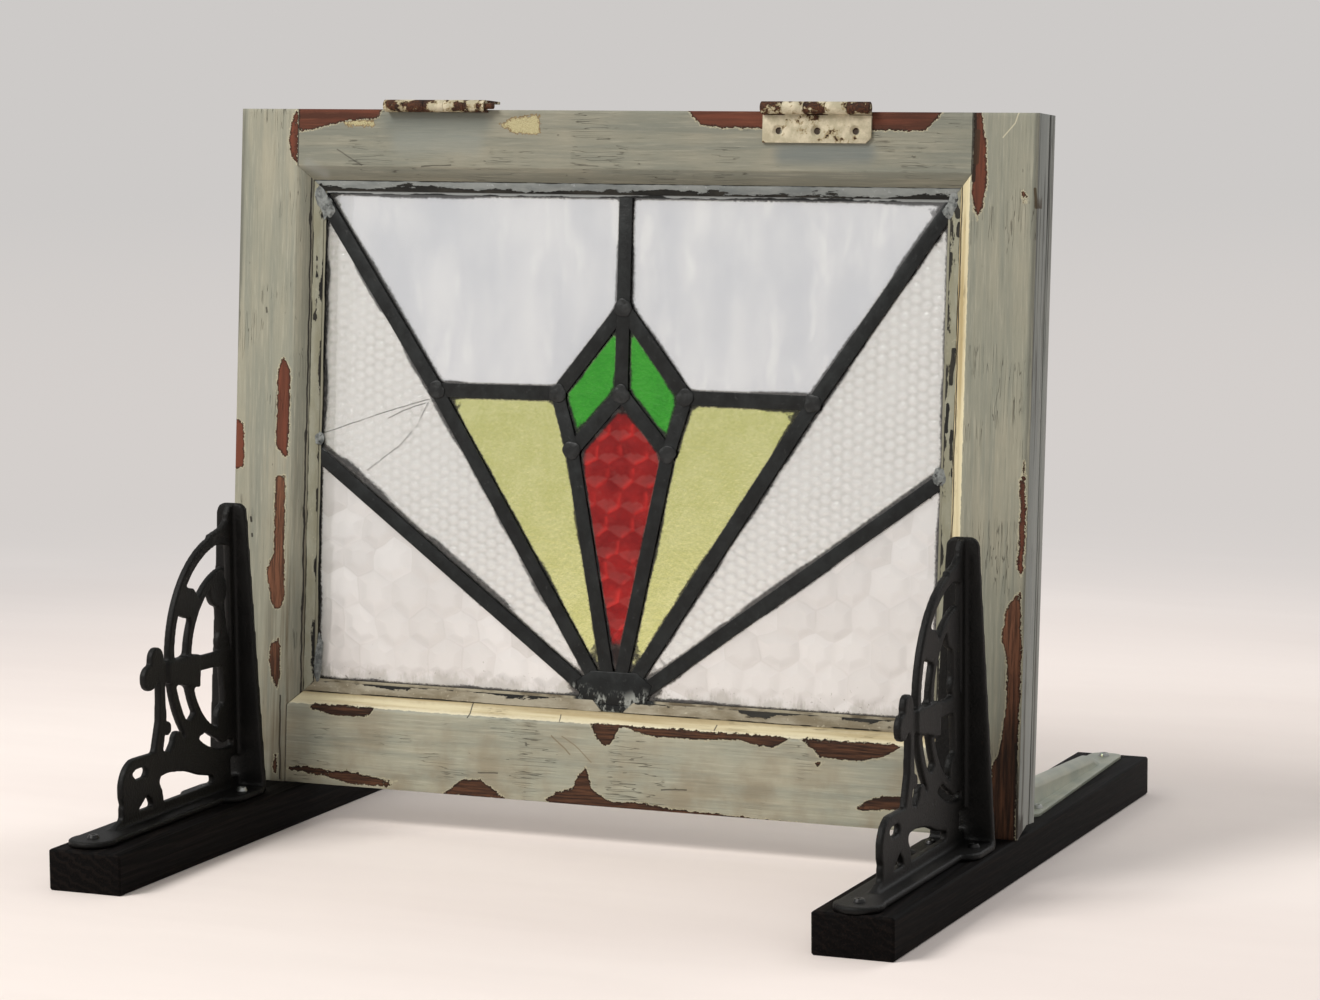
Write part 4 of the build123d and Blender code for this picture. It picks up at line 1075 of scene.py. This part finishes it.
def pale_cloth():
    material, shader, place = finish_of("pale_cloth", roughness=0.95, specular=0.1)
    from_middle = vectors("LENGTH", place)
    folds = grain(place, 3.2, 4, 0.5, stretch=(0.35, 1, 1), offset=(2, 1, 0))
    cloth = blend(rise(folds, 0.35, 0.7), srgb(249, 239, 233), srgb(243, 232, 226))
    surface(shader, cloth, folds, 0.012)
    far_tone = blend(rise(from_middle, 0.6, 1.9), srgb(227, 219, 215), srgb(212, 207, 204))
    far_tone = blend(rise(from_middle, 2.2, 9.0), far_tone, far_pale)
    creases = grain(place, 4.0, 4, 0.5, stretch=(0.3, 1, 1), offset=(6, 2, 0))
    near_share = rise(from_middle, 1.9, 0.9, 0, 0.3)
    lit_fold = times(rise(creases, 0.50, 0.70), near_share)
    far_tone = blend(lit_fold, far_tone, srgb(238, 231, 227))
    dim_fold = times(rise(creases, 0.46, 0.34), near_share)
    far_tone = blend(dim_fold, far_tone, srgb(208, 200, 196))
    glow = put("Emission", Color=far_tone, Strength=1.0)
    end = material.node_tree.nodes["Material Output"]
    shown_instead(rise(from_middle, 0.55, 1.5), shader, glow, end)
    return material


bm = bmesh.new()
bmesh.ops.create_circle(bm, cap_ends=True, segments=96, radius=60)
floor_mesh = bpy.data.meshes.new("floor")
bm.to_mesh(floor_mesh)
bm.free()
floor = bpy.data.objects.new("floor", floor_mesh)
bpy.context.scene.collection.objects.link(floor)
floor_mesh.materials.append(pale_cloth())

world = bpy.data.worlds.new("soft_room")
bpy.context.scene.world = world
world.use_nodes = True
room = world.node_tree.nodes["Background"]
room.inputs["Strength"].default_value = 0.46
room.inputs["Color"].default_value = (1.0, 0.99, 0.98, 1)
seen = put("Background", tree=world.node_tree, Color=far_pale, Strength=1.0)
shown_instead(1.0, room, seen, world.node_tree.nodes["World Output"])


def soft_light(name, place, aim, size, power, colour=(1, 1, 1)):
    lamp = bpy.data.lights.new(name, "AREA")
    lamp.shape = "DISK"
    lamp.size = size
    lamp.energy = power
    lamp.color = colour
    thing = bpy.data.objects.new(name, lamp)
    thing.location = place
    thing.rotation_euler = (Vector(aim) - Vector(place)).to_track_quat("-Z", "Y").to_euler()
    bpy.context.scene.collection.objects.link(thing)


soft_light("window_light", (-1.5, -2.0, 2.7), (0, 0, 0.2), 1.6, 90, (1.0, 0.98, 0.95))
soft_light("back_light", (1.2, 2.4, 2.2), (0, 0, 0.2), 1.8, 26)

# The camera stands to the right of the front and a little above, with a long lens.
camera_place = Vector((1.06524, -2.41724, 0.57085))
camera_azimuth = math.radians(23.192)
camera_pitch = math.radians(7.300)
camera_roll = math.radians(-0.419)
forward = Vector(
    (
        -math.sin(camera_azimuth) * math.cos(camera_pitch),
        math.cos(camera_azimuth) * math.cos(camera_pitch),
        -math.sin(camera_pitch),
    )
)
level = Vector((math.cos(camera_azimuth), math.sin(camera_azimuth), 0))
top = level.cross(forward)
right = math.cos(camera_roll) * level + math.sin(camera_roll) * top
top = -math.sin(camera_roll) * level + math.cos(camera_roll) * top
camera_data = bpy.data.cameras.new("camera")
camera_data.sensor_fit = "HORIZONTAL"
camera_data.sensor_width = 36
camera_data.lens = 107.86
camera = bpy.data.objects.new("camera", camera_data)
bpy.context.scene.collection.objects.link(camera)
pose = Matrix((right, top, -forward)).transposed().to_4x4()
pose.translation = camera_place
camera.matrix_world = pose
bpy.context.scene.camera = camera
bpy.context.scene.view_settings.view_transform = "Standard"
